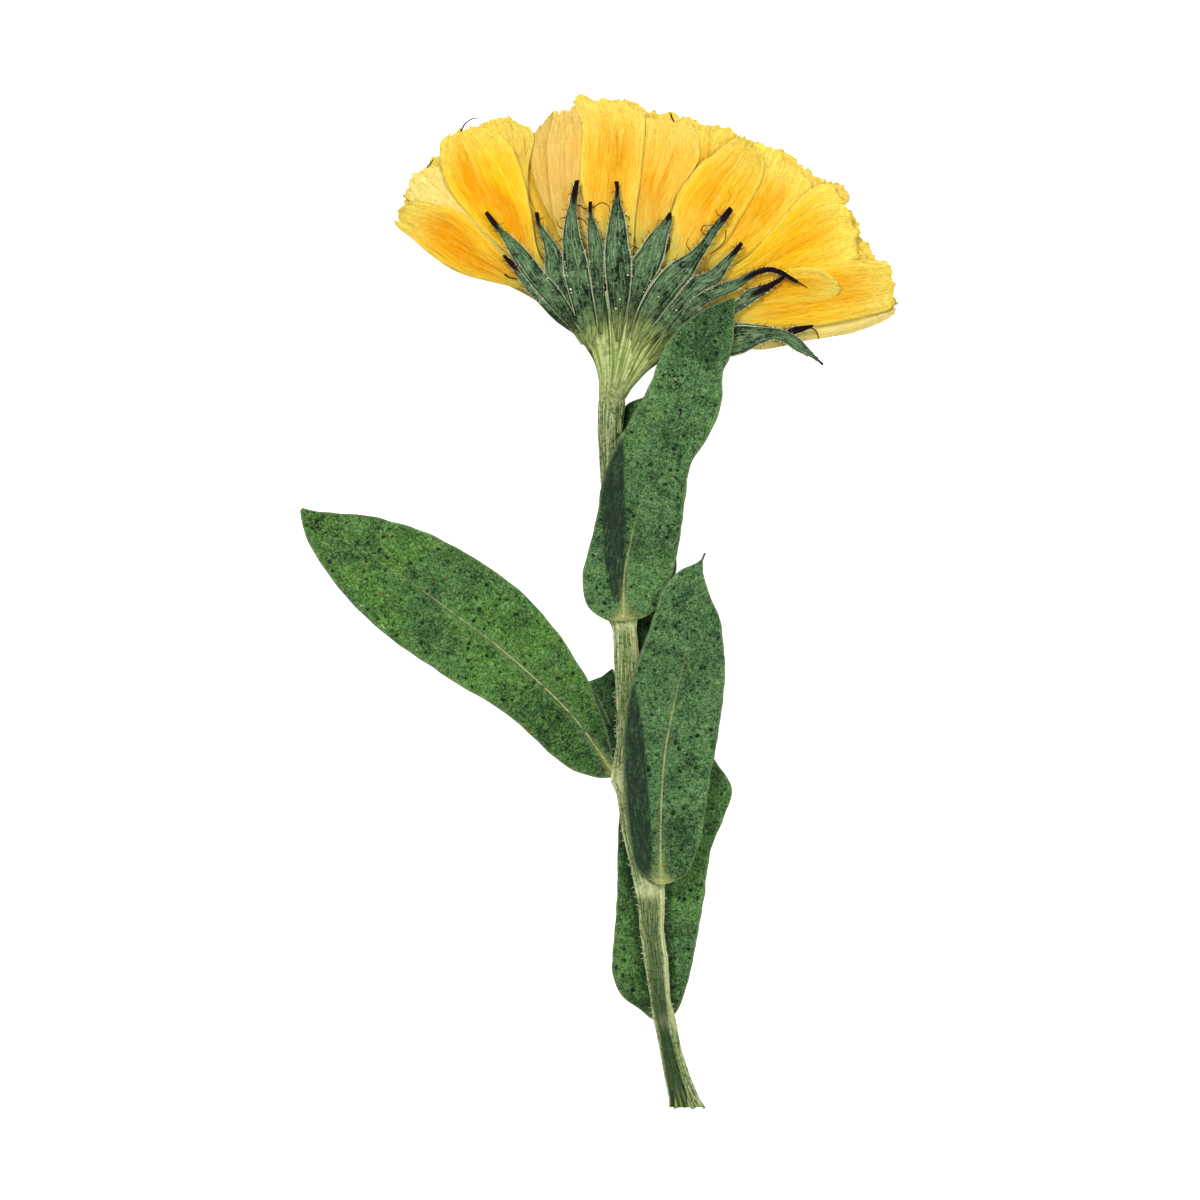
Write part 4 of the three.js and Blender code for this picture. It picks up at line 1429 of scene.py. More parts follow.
@dataclass
class Stem:
    """The pressed, ribbed stem from the cup to the flared cut end.

    Attributes:
        ribs: how many ribs run round it.
        depth, rough: depth of the grooves and of the skin's unevenness, as shares of its half-width.
        twist: how far the ribs wander round it.
        cut: y where the cut end starts to fray, and of the end.
        fray: how far the fibres at the cut differ in length.
        glow_inset: how far the bright rib lies inside the right edge.
        node_reach: how far the pale ring of a leaf's node reaches along the stem.
    """

    ribs: int = 11
    depth: float = 0.13
    twist: float = 0.15
    rough: float = 0.035
    cut: tuple[float, float] = (-60.3, -61.0)
    fray: float = 0.5
    glow_inset: float = 0.32
    node_reach: float = 0.9

    VALUES = ("shadow", "glow", "end", "rim", "node")
    GRID = (132, 460)
    # Y of the places where leaves join, and how pale each is
    NODES = ((-2.9, 0.9), (-35.0, 1.0), (-21.2, 0.4), (-50.6, 0.4))
    # Edges of the dark strip over Y, how dark it is, and how bright the rib on the right edge is
    DARK_LEFT = ((-60.4, 8.4), (-55.3, 7.6), (-51.7, 7.0), (-49.6, 6.5), (-40.0, 5.3), (-35.5, 4.7))
    DARK_RIGHT = ((-60.4, 10.7), (-55.3, 9.4), (-51.7, 8.4), (-49.6, 8.2), (-40.0, 7.2), (-35.5, 7.0))
    DARK_SHARE = ((-61.0, 1.0), (-50.0, 1.0), (-46.0, 0.8), (-36.0, 0.55), (-34.0, 0.0))
    RIB_SHARE = (
        (-53.0, 0.0), (-49.0, 0.7), (-35.5, 1.0), (-34.4, 0.0),
        (-12.0, 0.0), (-9.0, 0.5), (-2.6, 0.9), (-1.8, 0.0),
    )

    @staticmethod
    def section(y: float) -> tuple[float, float, float, float]:
        """Left edge, right edge, underside and thickness at a height of the picture."""
        rows = STEM_STATIONS[::-1]
        return tuple(follow([(row[0], row[k]) for row in rows], y) for k in (1, 2, 3, 4))

    def marks(self, x: float, y: float, right: float) -> Values:
        """The dark strip, the bright rib, the cut end and the leaves' nodes at a place.

        Args:
            x: the place across.
            y: the place along.
            right: where the right edge is.

        Returns:
            The painted values, 0 to 1 each.
        """
        strip = ease(-0.1, 0.25, min(x - follow(self.DARK_LEFT, y), follow(self.DARK_RIGHT, y) - x))
        glow = ease(0.32, 0.1, abs(x - right + self.glow_inset))
        return {
            "shadow": strip * follow(self.DARK_SHARE, y),
            "glow": glow * follow(self.RIB_SHARE, y),
            "end": 1.0 - ease(-61.0, -57.5, y),
            "node": max(pale * bell(y - low, self.node_reach) for low, pale in self.NODES),
        }

    def skin(self, u: float, v: float) -> Spot:
        """A point of the stem.

        Args:
            u: round it, from -1 to 1.
            v: along it, from 0 at the cut to 1 at the head.

        Returns:
            Its place and its painted values.
        """
        head, cut = STEM_STATIONS[0][0], STEM_STATIONS[-1][0]
        y = cut + (head - cut) * v
        left, right, under, thick = self.section(y)
        angle = round_angle(u)
        groove = self.depth * abs(math.sin(self.ribs * angle / 2 + self.twist * math.sin(y * 0.35)))
        grain = self.rough * ruffle(math.cos(angle) * 4.0, math.sin(angle) * 4.0, y * 0.09)
        size = min(1.0, 1.0 - groove + grain)
        fray = self.fray * ease(*self.cut, y) * ruffle(u * 9.0, 2.0, 0.0)
        x = (left + right) / 2 + (right - left) / 2 * math.cos(angle) * size
        z = under + thick / 2 * (1.0 + math.sin(angle) * size)
        values = {"rim": ease(0.9, 0.99, abs(math.cos(angle)))} | self.marks(x, y, right)
        return Vector((x, y + fray, z)), values

    def build(self, finish: bpy.types.Material) -> bpy.types.Object:
        """Makes the stem.

        Args:
            finish: its finish.

        Returns:
            The piece.
        """
        sheets = Sheets("stem_body", self.VALUES)
        sheets.add(*self.GRID, self.skin)
        sheets.close(0.002)
        piece = sheets.finish(finish)
        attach(piece, ROOT_BODY)
        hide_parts("stem")
        return piece


@dataclass(frozen=True)
class Leaf:
    """One leaf between its two edges and its rib, each listed from base to tip.

    Attributes:
        name: the model's node that it stands for.
        left: edge on the left-hand side.
        rib: the midrib.
        right: edge on the right-hand side.
        rise: height of the solid's underside, over Y or over the way from base to tip.
        by_way: whether that rise is over the way.
        waves: how high the edges lift and how many waves they have.
        front: whether it lies in front of the stem.
        bright: how bright a green it is, 0 to 1.
        ribbed: how plain its midrib is, 0 to 1.
        fade: share of its length where the midrib fades away.
        stain: the dark mark of the stem behind it: Y, left edge and right edge, from its lowest point up.
        dull: how dark it is near its base, and how deep the painted shadow is where it lies by the stem, 0 to
            1.
        clouds: darker places: x, y, reach and how dark.
    """

    name: str
    left: tuple[Point, ...]
    rib: tuple[Point, ...]
    right: tuple[Point, ...]
    rise: Pairs
    by_way: bool
    waves: tuple[float, float]
    front: bool
    bright: float
    ribbed: float
    fade: float
    stain: tuple[tuple[float, float, float], ...] = ()
    dull: float = 0.6
    clouds: tuple[tuple[float, float, float, float], ...] = ()

    def stained(self, point: Vector) -> float:
        """How far a point lies in the dark mark of the stem.

        Args:
            point: a point of the leaf, seen from above.

        Returns:
            0 to 1.
        """
        if not self.stain or not self.stain[0][0] <= point.y <= self.stain[-1][0]:
            return 0.0
        low = follow([(y, left) for y, left, _ in self.stain], point.y)
        high = follow([(y, right) for y, _, right in self.stain], point.y)
        return ease(-0.1, 0.12, min(point.x - low, high - point.x))

    def clouded(self, point: Vector) -> float:
        """How dark the leaf's own darker places make a point."""
        return sum(share * bell((point - Vector((x, y))).length, reach) for x, y, reach, share in self.clouds)


# The leaves; the clasping lobe of the left one is a blade of its own
LEAVES = (
    Leaf(
        "leaf_left",
        ((2.2, -21.4), (-0.7, -21.3), (-3.6, -20.3), (-11.4, -13.6), (-19.2, -8.8), (-28.4, -1.9),
         (-34.6, 6.0), (-35.9, 9.4), (-36.1, 10.7)),
        ((2.3, -20.8), (1.6, -20.6), (0.0, -18.4), (-3.6, -13.6), (-12.0, -5.8), (-16.8, -2.2),
         (-24.0, 3.0), (-28.8, 6.0), (-36.0, 10.9)),
        ((2.4, -20.2), (1.9, -17.6), (1.2, -14.6), (0.3, -12.6), (-1.4, -9.8), (-5.0, -4.0),
         (-10.2, 1.6), (-19.2, 7.3), (-27.0, 10.0), (-33.6, 10.6), (-35.8, 11.1)),
        ((0.0, 0.45), (0.2, 0.3), (0.75, 0.2), (1.0, 0.55)),
        True, (0.5, 1.6), False, 1.0, 1.0, 0.9, (), 0.6,
        ((-4.6, -16.0, 5.2, 0.8), (-9.0, -12.5, 3.4, 0.4), (-33.0, 8.8, 2.4, 0.4)),
    ),
    Leaf(
        "leaf_left",
        ((1.5, -19.4), (0.4, -15.0), (-0.8, -12.0), (-1.4, -9.8)),
        ((2.5, -19.4), (2.0, -15.0), (1.2, -12.0), (0.2, -9.2)),
        ((3.4, -19.4), (3.4, -15.0), (2.9, -11.4), (1.5, -8.2)),
        ((0.0, 0.5), (1.0, 0.5)),
        True, (0.0, 1.0), False, 0.1, 0.0, 0.1, (), 1.0, ((1.0, -12.0, 5.0, 1.5),),
    ),
    Leaf(
        "leaf_upper_front",
        ((1.4, -2.6), (0.3, -2.2), (-0.9, -1.4), (-1.7, -0.3), (-2.1, 2.6), (-1.2, 6.6), (0.0, 12.0),
         (0.3, 14.4), (1.8, 18.2), (5.1, 24.0), (6.2, 26.4), (6.7, 27.7), (7.8, 30.2), (9.4, 32.5),
         (12.1, 34.5), (15.6, 36.0)),
        ((2.8, -2.5), (3.0, 3.6), (4.6, 10.8), (6.0, 15.0), (8.6, 21.0), (10.6, 26.4), (12.4, 30.6),
         (15.9, 36.1)),
        ((4.4, -2.3), (5.4, -2.0), (6.7, -1.1), (7.8, 0.8), (9.0, 4.4), (9.9, 9.4), (10.3, 13.2),
         (11.0, 16.6), (12.3, 18.4), (14.0, 21.8), (14.6, 24.0), (14.7, 27.2), (15.5, 28.9),
         (16.1, 34.2), (16.2, 36.0)),
        ((-1.8, 3.55), (5.0, 3.75), (12.0, 4.6), (18.0, 5.9), (23.0, 7.0), (26.0, 7.4)),
        False, (0.35, 1.9), True, 0.45, 0.9, 0.5,
        ((-0.4, 1.8, 2.2), (1.1, 1.2, 3.1), (5.0, 0.6, 3.1), (10.6, 0.2, 3.0), (14.4, 0.1, 2.8),
         (18.5, 1.6, 2.8), (19.4, 2.4, 2.7)),
        0.2, ((13.2, 33.6, 4.6, 0.8), (9.6, 18.6, 2.2, 0.5), (8.2, 6.4, 3.0, 0.55), (8.6, 12.4, 1.6, 0.4)),
    ),
    Leaf(
        "leaf_upper_back",
        ((1.9, -4.6), (0.6, -1.0), (-0.4, 3.0), (-0.2, 7.0), (0.6, 12.0), (0.8, 17.4), (1.8, 21.6),
         (3.4, 23.6), (7.0, 25.0)),
        ((3.1, -4.6), (2.8, 1.2), (3.6, 6.6), (4.4, 12.0), (5.0, 17.4), (5.6, 22.0), (7.2, 25.1)),
        ((4.7, -6.8), (6.2, -3.6), (7.6, -0.2), (9.1, 3.0), (9.2, 6.0), (9.9, 10.8), (9.9, 15.0),
         (9.6, 19.6), (8.8, 22.8), (7.4, 25.0)),
        ((0.0, 0.45), (1.0, 0.45)),
        True, (0.25, 1.7), False, 0.2, 0.7, 0.8, (), 1.0,
    ),
    Leaf(
        "leaf_middle",
        ((6.6, -34.0), (4.4, -32.2), (3.4, -27.0), (2.8, -20.4), (2.9, -15.4), (3.7, -10.2), (5.6, -4.4),
         (6.9, -0.5), (8.0, 2.0), (9.7, 3.6), (11.4, 4.4), (12.1, 4.9), (12.4, 5.6)),
        ((7.3, -34.2), (7.3, -26.4), (7.7, -19.2), (8.6, -13.8), (10.2, -6.6), (11.4, -0.6), (12.5, 5.7)),
        ((8.3, -34.0), (10.2, -33.0), (11.9, -29.4), (12.9, -23.4), (14.4, -14.4), (15.0, -9.0),
         (14.8, -5.4), (14.3, -2.0), (13.4, 0.0), (12.3, 3.5), (12.2, 4.9), (12.7, 5.6)),
        ((-34.0, 3.55), (-20.0, 3.75), (-5.0, 4.35), (6.0, 4.8)),
        False, (0.35, 1.9), True, 0.4, 1.0, 0.86,
        ((-34.0, 5.2, 6.1), (-29.2, 3.4, 6.15), (-22.8, 2.8, 5.7), (-18.0, 2.7, 5.3), (-13.7, 3.0, 4.9),
         (-10.2, 3.8, 4.1)),
        0.4, ((10.2, -27.6, 2.8, 0.55), (9.0, -31.0, 2.2, 0.4), (10.6, -14.0, 1.4, 0.35)),
    ),
    Leaf(
        "leaf_lower_back",
        ((6.2, -50.4), (5.2, -49.6), (2.6, -47.6), (1.6, -45.4), (1.6, -41.4), (2.0, -37.0),
         (2.2, -28.0), (3.0, -22.0), (6.0, -18.6), (10.2, -16.8)),
        ((7.0, -50.6), (7.2, -45.6), (7.4, -38.4), (8.0, -30.0), (9.4, -22.8), (10.8, -16.7)),
        ((8.0, -50.4), (9.2, -49.6), (10.5, -46.2), (12.2, -38.0), (13.4, -30.0), (14.8, -26.4),
         (15.9, -22.8), (14.2, -19.8), (11.4, -16.8)),
        ((-50.5, 0.35), (-47.5, 0.1), (-45.5, 0.0), (-25.0, 0.0), (-17.0, 0.35)),
        False, (0.25, 1.7), False, 0.75, 0.4, 0.8, (), 0.8, ((3.4, -30.0, 3.0, 0.5), (2.6, -42.0, 5.0, 0.3)),
    ),
)


@dataclass
class Foliage:
    """The leaves: thin blades with a midrib, uneven edges and the mark of the stem behind the front ones.

    Attributes:
        chance: source of small differences.
        sheet: thickness of a blade.
        uneven: how far the outline wanders.
        level: share of a half-blade beside the rib that doesn't lift.
        sag, base_sag: how far a front leaf hangs beside the stem and at its base.
        sag_top: y past which it no longer hangs beside the stem.
        furrow, rough: heights of the midrib and of the blade's bumps.
        rib_width: distance from the rib over which the finish draws it.
    """

    chance: random.Random
    sheet: float = 0.3
    uneven: float = 0.16
    level: float = 1 / 3
    sag: float = 0.28
    sag_top: float = 20.0
    base_sag: float = 0.36
    furrow: float = 0.07
    rough: float = 0.05
    rib_width: float = 1.2

    VALUES = ("rib", "vein", "rim", "band", "bright", "shade", "flare")
    # Cells across a blade, along a ribbed one, and along a lobe
    ACROSS = 56
    ALONG = 130
    ALONG_LOBE = 40
    # Reaches across and along the rib of the two pale flares at its base
    FLARES = ((1.5, 1.5), (0.4, 3.2))

    def wave(self, leaf: Leaf, u: float, v: float) -> float:
        """How high the leaf's edges lift at a point of it, as Shape gives it."""
        lift, count = leaf.waves
        outwards = max(0.0, abs(u) - self.level) / (1.0 - self.level)
        swing = (1.0 + math.sin(2 * math.pi * count * v + (1.2 if u > 0 else -1.2))) / 2
        return lift * outwards * outwards * swing * math.sin(math.pi * v)

    def shape(self, leaf: Leaf) -> Shape:
        """The form of a leaf.

        Args:
            leaf: which one.

        Returns:
            The function for Sheets.add.
        """
        left, rib, right = Line(leaf.left), Line(leaf.rib), Line(leaf.right)
        grain = self.chance.uniform(0, 60)

        def place(u: float, v: float) -> Spot:
            """A point of the leaf, as Shape gives it."""
            middle, edge = rib.at(v), (left if u < 0 else right).at(v)
            side, width = abs(u), (edge - middle).length
            off_rib, past_base = side * width, v * rib.length
            uneven = self.uneven * ruffle(v * 21.0 + grain, 4.0 if u < 0 else 9.0, 0.0) * side**4
            flat = middle.lerp(edge, side) + (edge - middle).normalized() * uneven * min(1.0, width)
            stem_left, stem_right, _, _ = Stem.section(flat.y)
            height = follow(leaf.rise, v if leaf.by_way else flat.y) + LEAF_SHEET / 2 + self.wave(leaf, u, v)
            height += self.furrow * bell(off_rib, 0.35) * (1.0 - ease(leaf.fade, 1.0, v))
            height += self.rough * ruffle(flat.x * 0.7, flat.y * 0.7, grain)
            base = 1.0 - ease(0.0, 0.22, v)
            if leaf.front:
                inside = ease(-0.25, 0.25, min(flat.x - stem_left, stem_right - flat.x))
                height -= self.sag * (1.0 - inside) if flat.y < self.sag_top else 0.0
                height -= self.base_sag * (1.0 - ease(0.4, 2.6, past_base))
                shade = base * 0.6
            else:
                # Painted shadow: a leaf under the stem is darkened beside the stem's edges, as in the stem's
                # shadow
                beside = min(abs(flat.x - stem_left), abs(flat.x - stem_right))
                shade = max(base * 0.8, 1.0 - ease(0.0, 1.3, beside))
            values = {
                "rib": min(1.0, off_rib / self.rib_width),
                "vein": leaf.ribbed * (1.0 - 0.4 * v) * (1.0 - ease(leaf.fade - 0.5, leaf.fade, v)),
                "rim": 1.0 - ease(0.06, 0.3, (1.0 - side) * width),
                "band": leaf.stained(flat),
                "bright": leaf.bright,
                "shade": min(1.4, shade * leaf.dull * 1.4 + leaf.clouded(flat)),
                "flare": leaf.ribbed * max(bell(off_rib, a) * bell(past_base, b) for a, b in self.FLARES),
            }
            return raised_to(max(self.sheet / 2, height), flat), values

        return place

    def build(self, finish: bpy.types.Material) -> list[bpy.types.Object]:
        """Makes every leaf a piece of its own.

        Args:
            finish: their finish.

        Returns:
            The pieces.
        """
        pieces = []
        for name in dict.fromkeys(leaf.name for leaf in LEAVES):
            sheets = Sheets(f"{name}_blade", self.VALUES)
            for leaf in (part for part in LEAVES if part.name == name):
                sheets.add(self.ACROSS, self.ALONG if leaf.ribbed else self.ALONG_LOBE, self.shape(leaf))
            piece = sheets.finish(finish, self.sheet)
            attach(piece, ROOT_BODY)
            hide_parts(name)
            pieces.append(piece)
        return pieces


@dataclass(frozen=True)
class PetalFinish:
    """Papery petals: yellow with an orange heart, lengthwise streaks, creases drawn as painted shade, a
    painted highlight along the edges, and pale, browned tips.
    """

    yellow: Colour = paint(250, 197, 10)
    orange: Colour = paint(238, 154, 2)
    light: Colour = paint(254, 232, 100)
    blush: Colour = paint(242, 204, 128)
    olive: Colour = paint(234, 210, 100)
    cream: Colour = paint(255, 243, 158)
    green: Colour = paint(224, 216, 104)
    amber: Colour = paint(226, 152, 4)
    brown: Colour = paint(164, 98, 8)

    def make(self) -> bpy.types.Material:
        """Makes the material.

        Returns:
            The material.
        """
        n = Nodes("petal")
        across, along = n.sheet()
        grain, orange, pale, tint, near, rim = n.values("grain", "orange", "pale", "tint", "near", "rim")
        side = abs(across - 0.5) * 2.0
        tip = along.over(0.66, 0.95)
        broad = n.streaks(across * 1.5, along * 0.8, grain, scale=2.4, detail=3.0, warp=0.5)
        streak = n.streaks(across * 8.0, along * 0.9, grain, scale=2.0, detail=4.0, warp=0.4)
        vein = n.streaks(across * 44.0, along * 1.6, grain, scale=2.0, detail=3.0)
        fibre = n.streaks(across * 50.0, along * 8.0, grain, scale=2.0, detail=3.0, warp=0.7)
        # Lines of painted shade along lengthwise creases; the surface itself has no fold there
        fold = n.vector(across * 3.0 + grain, along * 0.45, grain + 9.0)
        crease = n.cloud(fold, scale=1.3, detail=1.0, warp=0.3)
        patch = n.cloud(n.place(), scale=300.0, detail=4.0)
        crumple = n.cloud(n.place(), scale=800.0, detail=3.0, warp=1.6)
        # Yellow that lightens towards the tip, and fades to the petal's tint where it is pale
        light = streak.over(0.5, 0.3) * 0.3 + along.over(0.7, 1.0) * 0.8 + patch.over(0.5, 0.7) * 0.2
        colour = n.mix(light + side.over(0.7, 1.0) * 0.25, self.yellow, self.light)
        faded = n.mix(tint, self.blush, self.olive)
        faded = n.mix(tint - 1.0, faded, self.cream)
        colour = n.mix(pale * (0.5 + 0.6 * patch), colour, faded)
        # The orange heart, green near the cup, and a painted highlight along the edges and the tip
        middle = side.over(1.0, 0.25) * along.over(0.12, 0.4) * along.over(0.99, 0.74)
        warm = (broad.over(0.3, 0.6) + streak.over(0.46, 0.66) * 0.6) * middle * orange
        colour = n.mix(warm, colour, self.orange)
        colour = n.mix(near * (0.5 + 0.8 * streak.over(0.4, 0.6)), colour, self.green)
        # Painted highlight: a paler rim where the edges and the tip catch the light
        colour = n.mix(rim * 0.5, colour, self.light)
        # Fibres, painted shade in the crinkles of the crumpled tip, veins, and painted shade along creases
        colour = n.mix(fibre.over(0.47, 0.36) * 0.4, colour, self.light)
        colour = n.mix(fibre.over(0.52, 0.64) * 0.4, colour, self.amber)
        # Painted shade: amber lines in the crinkles of the tip
        colour = n.mix(crumple.at(0.5, 0.03) * tip * 0.5, colour, self.amber)
        # Brown veins, painted shade along the creases, and browned spots at the tips' rims
        dark = vein.over(0.56, 0.72) * 0.25 + crease.at(0.52, 0.012) * 0.3
        dark = dark + patch.over(0.54, 0.64) * rim * along.over(0.86, 0.98) * 0.2
        colour = n.mix(dark, colour, self.brown)
        height = vein * 0.3 + streak * 0.6 + fibre * 0.4 + crumple * tip * 1.1
        n.surface(colour, roughness=0.75, height=height, depth=0.3, gloss=0.05)
        return n.material


@dataclass(frozen=True)
class BractFinish:
    """Dry bracts: dark mottled green with thin pale margins, pale at the foot and nearly black at the tip."""

    green: Colour = paint(104, 134, 92)
    deep: Colour = paint(16, 34, 20)
    light: Colour = paint(150, 178, 134)
    foot: Colour = paint(168, 184, 104)
    margin: Colour = paint(212, 218, 176)
    black: Colour = paint(30, 18, 26)

    def make(self) -> bpy.types.Material:
        """Makes the material.

        Returns:
            The material.
        """
        n = Nodes("bract")
        way, side, grain, foot = n.values("way", "side", "grain", "foot")
        across, along = n.sheet()
        blotch = n.cloud(n.place(), scale=1100.0, detail=4.0, warp=0.4)
        fine = n.cloud(n.place(), scale=3000.0, detail=3.0, warp=0.5)
        lines = n.streaks(across * 9.0, along * 5.0, grain, scale=2.0, detail=3.0, warp=0.6)
        core = n.cloud(n.place(), scale=560.0) + way * 0.28 - side * 0.05
        shade = core.over(0.5, 0.66) * 0.5 + fine.over(0.45, 0.58) * 0.45 + lines.over(0.46, 0.58) * 0.4
        colour = n.mix(shade - 0.12, self.deep, self.green)
        colour = n.mix(lines.over(0.52, 0.64) * way.over(0.12, 0.6) * 0.6, colour, self.light)
        colour = n.mix(foot * lines.over(0.36, 0.56), colour, self.foot)
        # The dark line beside the margin, the margin and the dark tip
        colour = n.mix(side.at(0.82, 0.14) * 0.75 * (1.0 - foot), colour, self.deep)
        colour = n.mix(side.over(0.9, 0.96) * way.over(0.84, 0.7) * 0.85, colour, self.margin)
        colour = n.mix((way + 0.1 * (blotch - side)).over(0.78, 0.86), colour, self.black)
        height = blotch * 0.4 + lines * 0.6 + fine * 0.4
        n.surface(colour, roughness=0.8, height=height, depth=0.45, gloss=0.08)
        return n.material


@dataclass(frozen=True)
class CupFinish:
    """The cup: pale green ribs that spread from the stem, with darker green between them higher up."""

    rib: Colour = paint(212, 222, 150)
    groove: Colour = paint(130, 156, 74)
    deep: Colour = paint(40, 62, 36)
    stem: Colour = paint(168, 180, 118)
    line: Colour = paint(62, 80, 40)

    def make(self) -> bpy.types.Material:
        """Makes the material.

        Returns:
            The material.
        """
        n = Nodes("cup")
        up, side = n.values("up", "side")
        ribs = n.streaks(side * 26.0, up * 1.4, 0.0, scale=1.0, detail=4.0, warp=0.4)
        fine = n.cloud(n.place(), scale=2300.0, detail=4.0)
        blotch = n.cloud(n.place(), scale=420.0, detail=3.0)
        colour = n.mix(ribs.over(0.4, 0.58), self.groove, self.rib)
        colour = n.mix(fine.over(0.52, 0.66) * 0.55, colour, self.groove)
        colour = n.mix(ribs.over(0.4, 0.32) * 0.6, colour, self.deep)
        # The stem's colours low down, and darker green higher up
        low = up.over(0.5, 0.08)
        colour = n.mix(low * (0.2 + 1.2 * blotch), colour, self.stem)
        colour = n.mix(low * fine.over(0.5, 0.6) * 0.5, colour, self.line)
        colour = n.mix(up.over(0.5, 0.95) * (ribs.over(0.56, 0.4) + 0.35), colour, self.deep)
        colour = n.mix(blotch.over(0.6, 0.72) * 0.5 * up.over(0.1, 0.4), colour, self.deep)
        n.surface(colour, roughness=0.8, height=ribs * 0.7 + fine * 0.4, depth=0.5, gloss=0.08)
        return n.material


@dataclass(frozen=True)
class LeafFinish:
    """Papery leaves: grainy green with dark dashes and specks, a thin pale rib and pale margins."""

    bright: Colour = paint(97, 151, 60)
    cool: Colour = paint(112, 157, 104)
    light: Colour = paint(148, 182, 118)
    teal: Colour = paint(76, 118, 88)
    dark: Colour = paint(42, 68, 40)
    speck: Colour = paint(14, 28, 16)
    rib: Colour = paint(196, 196, 122)
    halo: Colour = paint(120, 152, 104)
    flare: Colour = paint(204, 208, 128)
    rim: Colour = paint(150, 170, 118)
    brown: Colour = paint(112, 92, 40)
    shadow: Colour = paint(44, 62, 46)

    def make(self) -> bpy.types.Material:
        """Makes the material.

        Returns:
            The material.
        """
        n = Nodes("leaf")
        rib, vein, rim, band = n.values("rib", "vein", "rim", "band")
        bright, shade, flare = n.values("bright", "shade", "flare")
        across, along = n.sheet()
        spot = n.place()
        large = n.cloud(spot, scale=120.0, detail=3.0, warp=0.4)
        patch = n.cloud(spot, scale=460.0, detail=3.0, warp=0.3)
        dash = n.cloud(spot, scale=1500.0, detail=3.0, warp=2.4)
        fleck = n.cloud(spot, scale=900.0, detail=3.0, warp=0.8)
        grain = n.cloud(spot, scale=2400.0, detail=5.0, warp=1.8)
        streaks = n.streaks(across * 34.0, along * 16.0, 0.0, scale=1.6, detail=4.0, warp=0.6)
        dots = n.cells(spot, scale=1050.0)
        rust = n.cells(spot, scale=640.0)
        # Mottled green
        colour = n.mix(bright, self.cool, self.bright)
        colour = n.mix(large.over(0.42, 0.58) * 0.35, colour, self.teal)
        colour = n.mix(grain.over(0.52, 0.6) * 0.45 + dash.over(0.44, 0.36) * 0.6, colour, self.light)
        dull = large.over(0.5, 0.75) * 0.3 + patch.over(0.5, 0.6) * 0.3 + grain.over(0.49, 0.42) * 0.6
        # The value shade darkens the leaf near its base and at its darker places, and on leaves under the
        # stem it also paints the stem's shadow beside its edges
        colour = n.mix(dull + shade * 0.5, colour, self.dark)
        colour = n.mix(rib.over(1.0, 0.1) * vein * 0.4, colour, self.halo)
        # Rusty and dark specks
        colour = n.mix(rust.over(0.24, 0.12) * patch.over(0.5, 0.4) * bright * 0.7, colour, self.brown)
        colour = n.mix(dash.over(0.59, 0.63) * 0.6, colour, self.speck)
        colour = n.mix(fleck.over(0.66, 0.72) * 0.6, colour, self.speck)
        colour = n.mix(dots.over(0.34, 0.2) * fleck.over(0.44, 0.56) * 0.85, colour, self.speck)
        # The mark of the stem, the midrib with the flare at its base, and the margin
        colour = n.mix(band * (0.6 + 0.5 * streaks.over(0.36, 0.6)), colour, self.shadow)
        colour = n.mix(rib.at(0.16, 0.07) * vein * 0.35, colour, self.dark)
        colour = n.mix(rib.over(0.12, 0.03) * vein * fleck.over(0.3, 0.56), colour, self.rib)
        colour = n.mix(flare * (0.6 + 0.6 * fleck), colour, self.flare)
        colour = n.mix(rim * 0.45, colour, self.rim)
        height = grain * 0.9 + dash * 0.5 + fleck * 0.3
        n.surface(colour, roughness=0.75, height=height, depth=0.55, gloss=0.08)
        return n.material


@dataclass(frozen=True)
class StemFinish:
    """The stem: grainy olive green with pale lengthwise lines, one dark strip and a bright rib."""

    pale: Colour = paint(216, 224, 168)
    green: Colour = paint(110, 140, 66)
    line: Colour = paint(50, 70, 30)
    dark: Colour = paint(44, 72, 40)
    glow: Colour = paint(222, 228, 164)
    cut: Colour = paint(178, 190, 104)

    def make(self) -> bpy.types.Material:
        """Makes the material.

        Returns:
            The material.
        """
        n = Nodes("stem")
        shadow, glow, end, node, rim = n.values("shadow", "glow", "end", "node", "rim")
        across, along = n.sheet()
        lines = n.streaks(across * 24.0, along * 2.4, 0.0, scale=1.6, detail=4.0)
        fine = n.streaks(across * 80.0, along * 16.0, 0.0, scale=1.6, detail=3.0)
        grain = n.cloud(n.place(), scale=2600.0, detail=3.0)
        blotch = n.cloud(n.place(), scale=380.0, detail=3.0)
        pale = lines.over(0.46, 0.56) * 0.5 + fine.over(0.48, 0.58) * 0.6 + rim * 0.5 + node * 0.5
        colour = n.mix(pale, self.green, self.pale)
        dark = fine.over(0.47, 0.38) * 0.6 + grain.over(0.5, 0.6) * 0.5 + blotch.over(0.52, 0.68) * 0.15
        colour = n.mix(dark, colour, self.line)
        # The dark strip, the leaves' nodes, the cut end and the bright rib
        colour = n.mix(shadow * (0.55 + 0.7 * lines), colour, self.dark)
        colour = n.mix(node * lines.over(0.35, 0.6) * 0.7, colour, self.glow)
        colour = n.mix(end * lines.over(0.5, 0.56) * 0.7, colour, self.cut)
        colour = n.mix(end * lines.over(0.49, 0.42) * 0.9, colour, self.line)
        colour = n.mix(glow * 0.8, colour, self.glow)
        height = lines * 0.6 + fine * 0.5 + grain * 0.3
        n.surface(colour, roughness=0.75, height=height, depth=0.5, gloss=0.1)
        return n.material


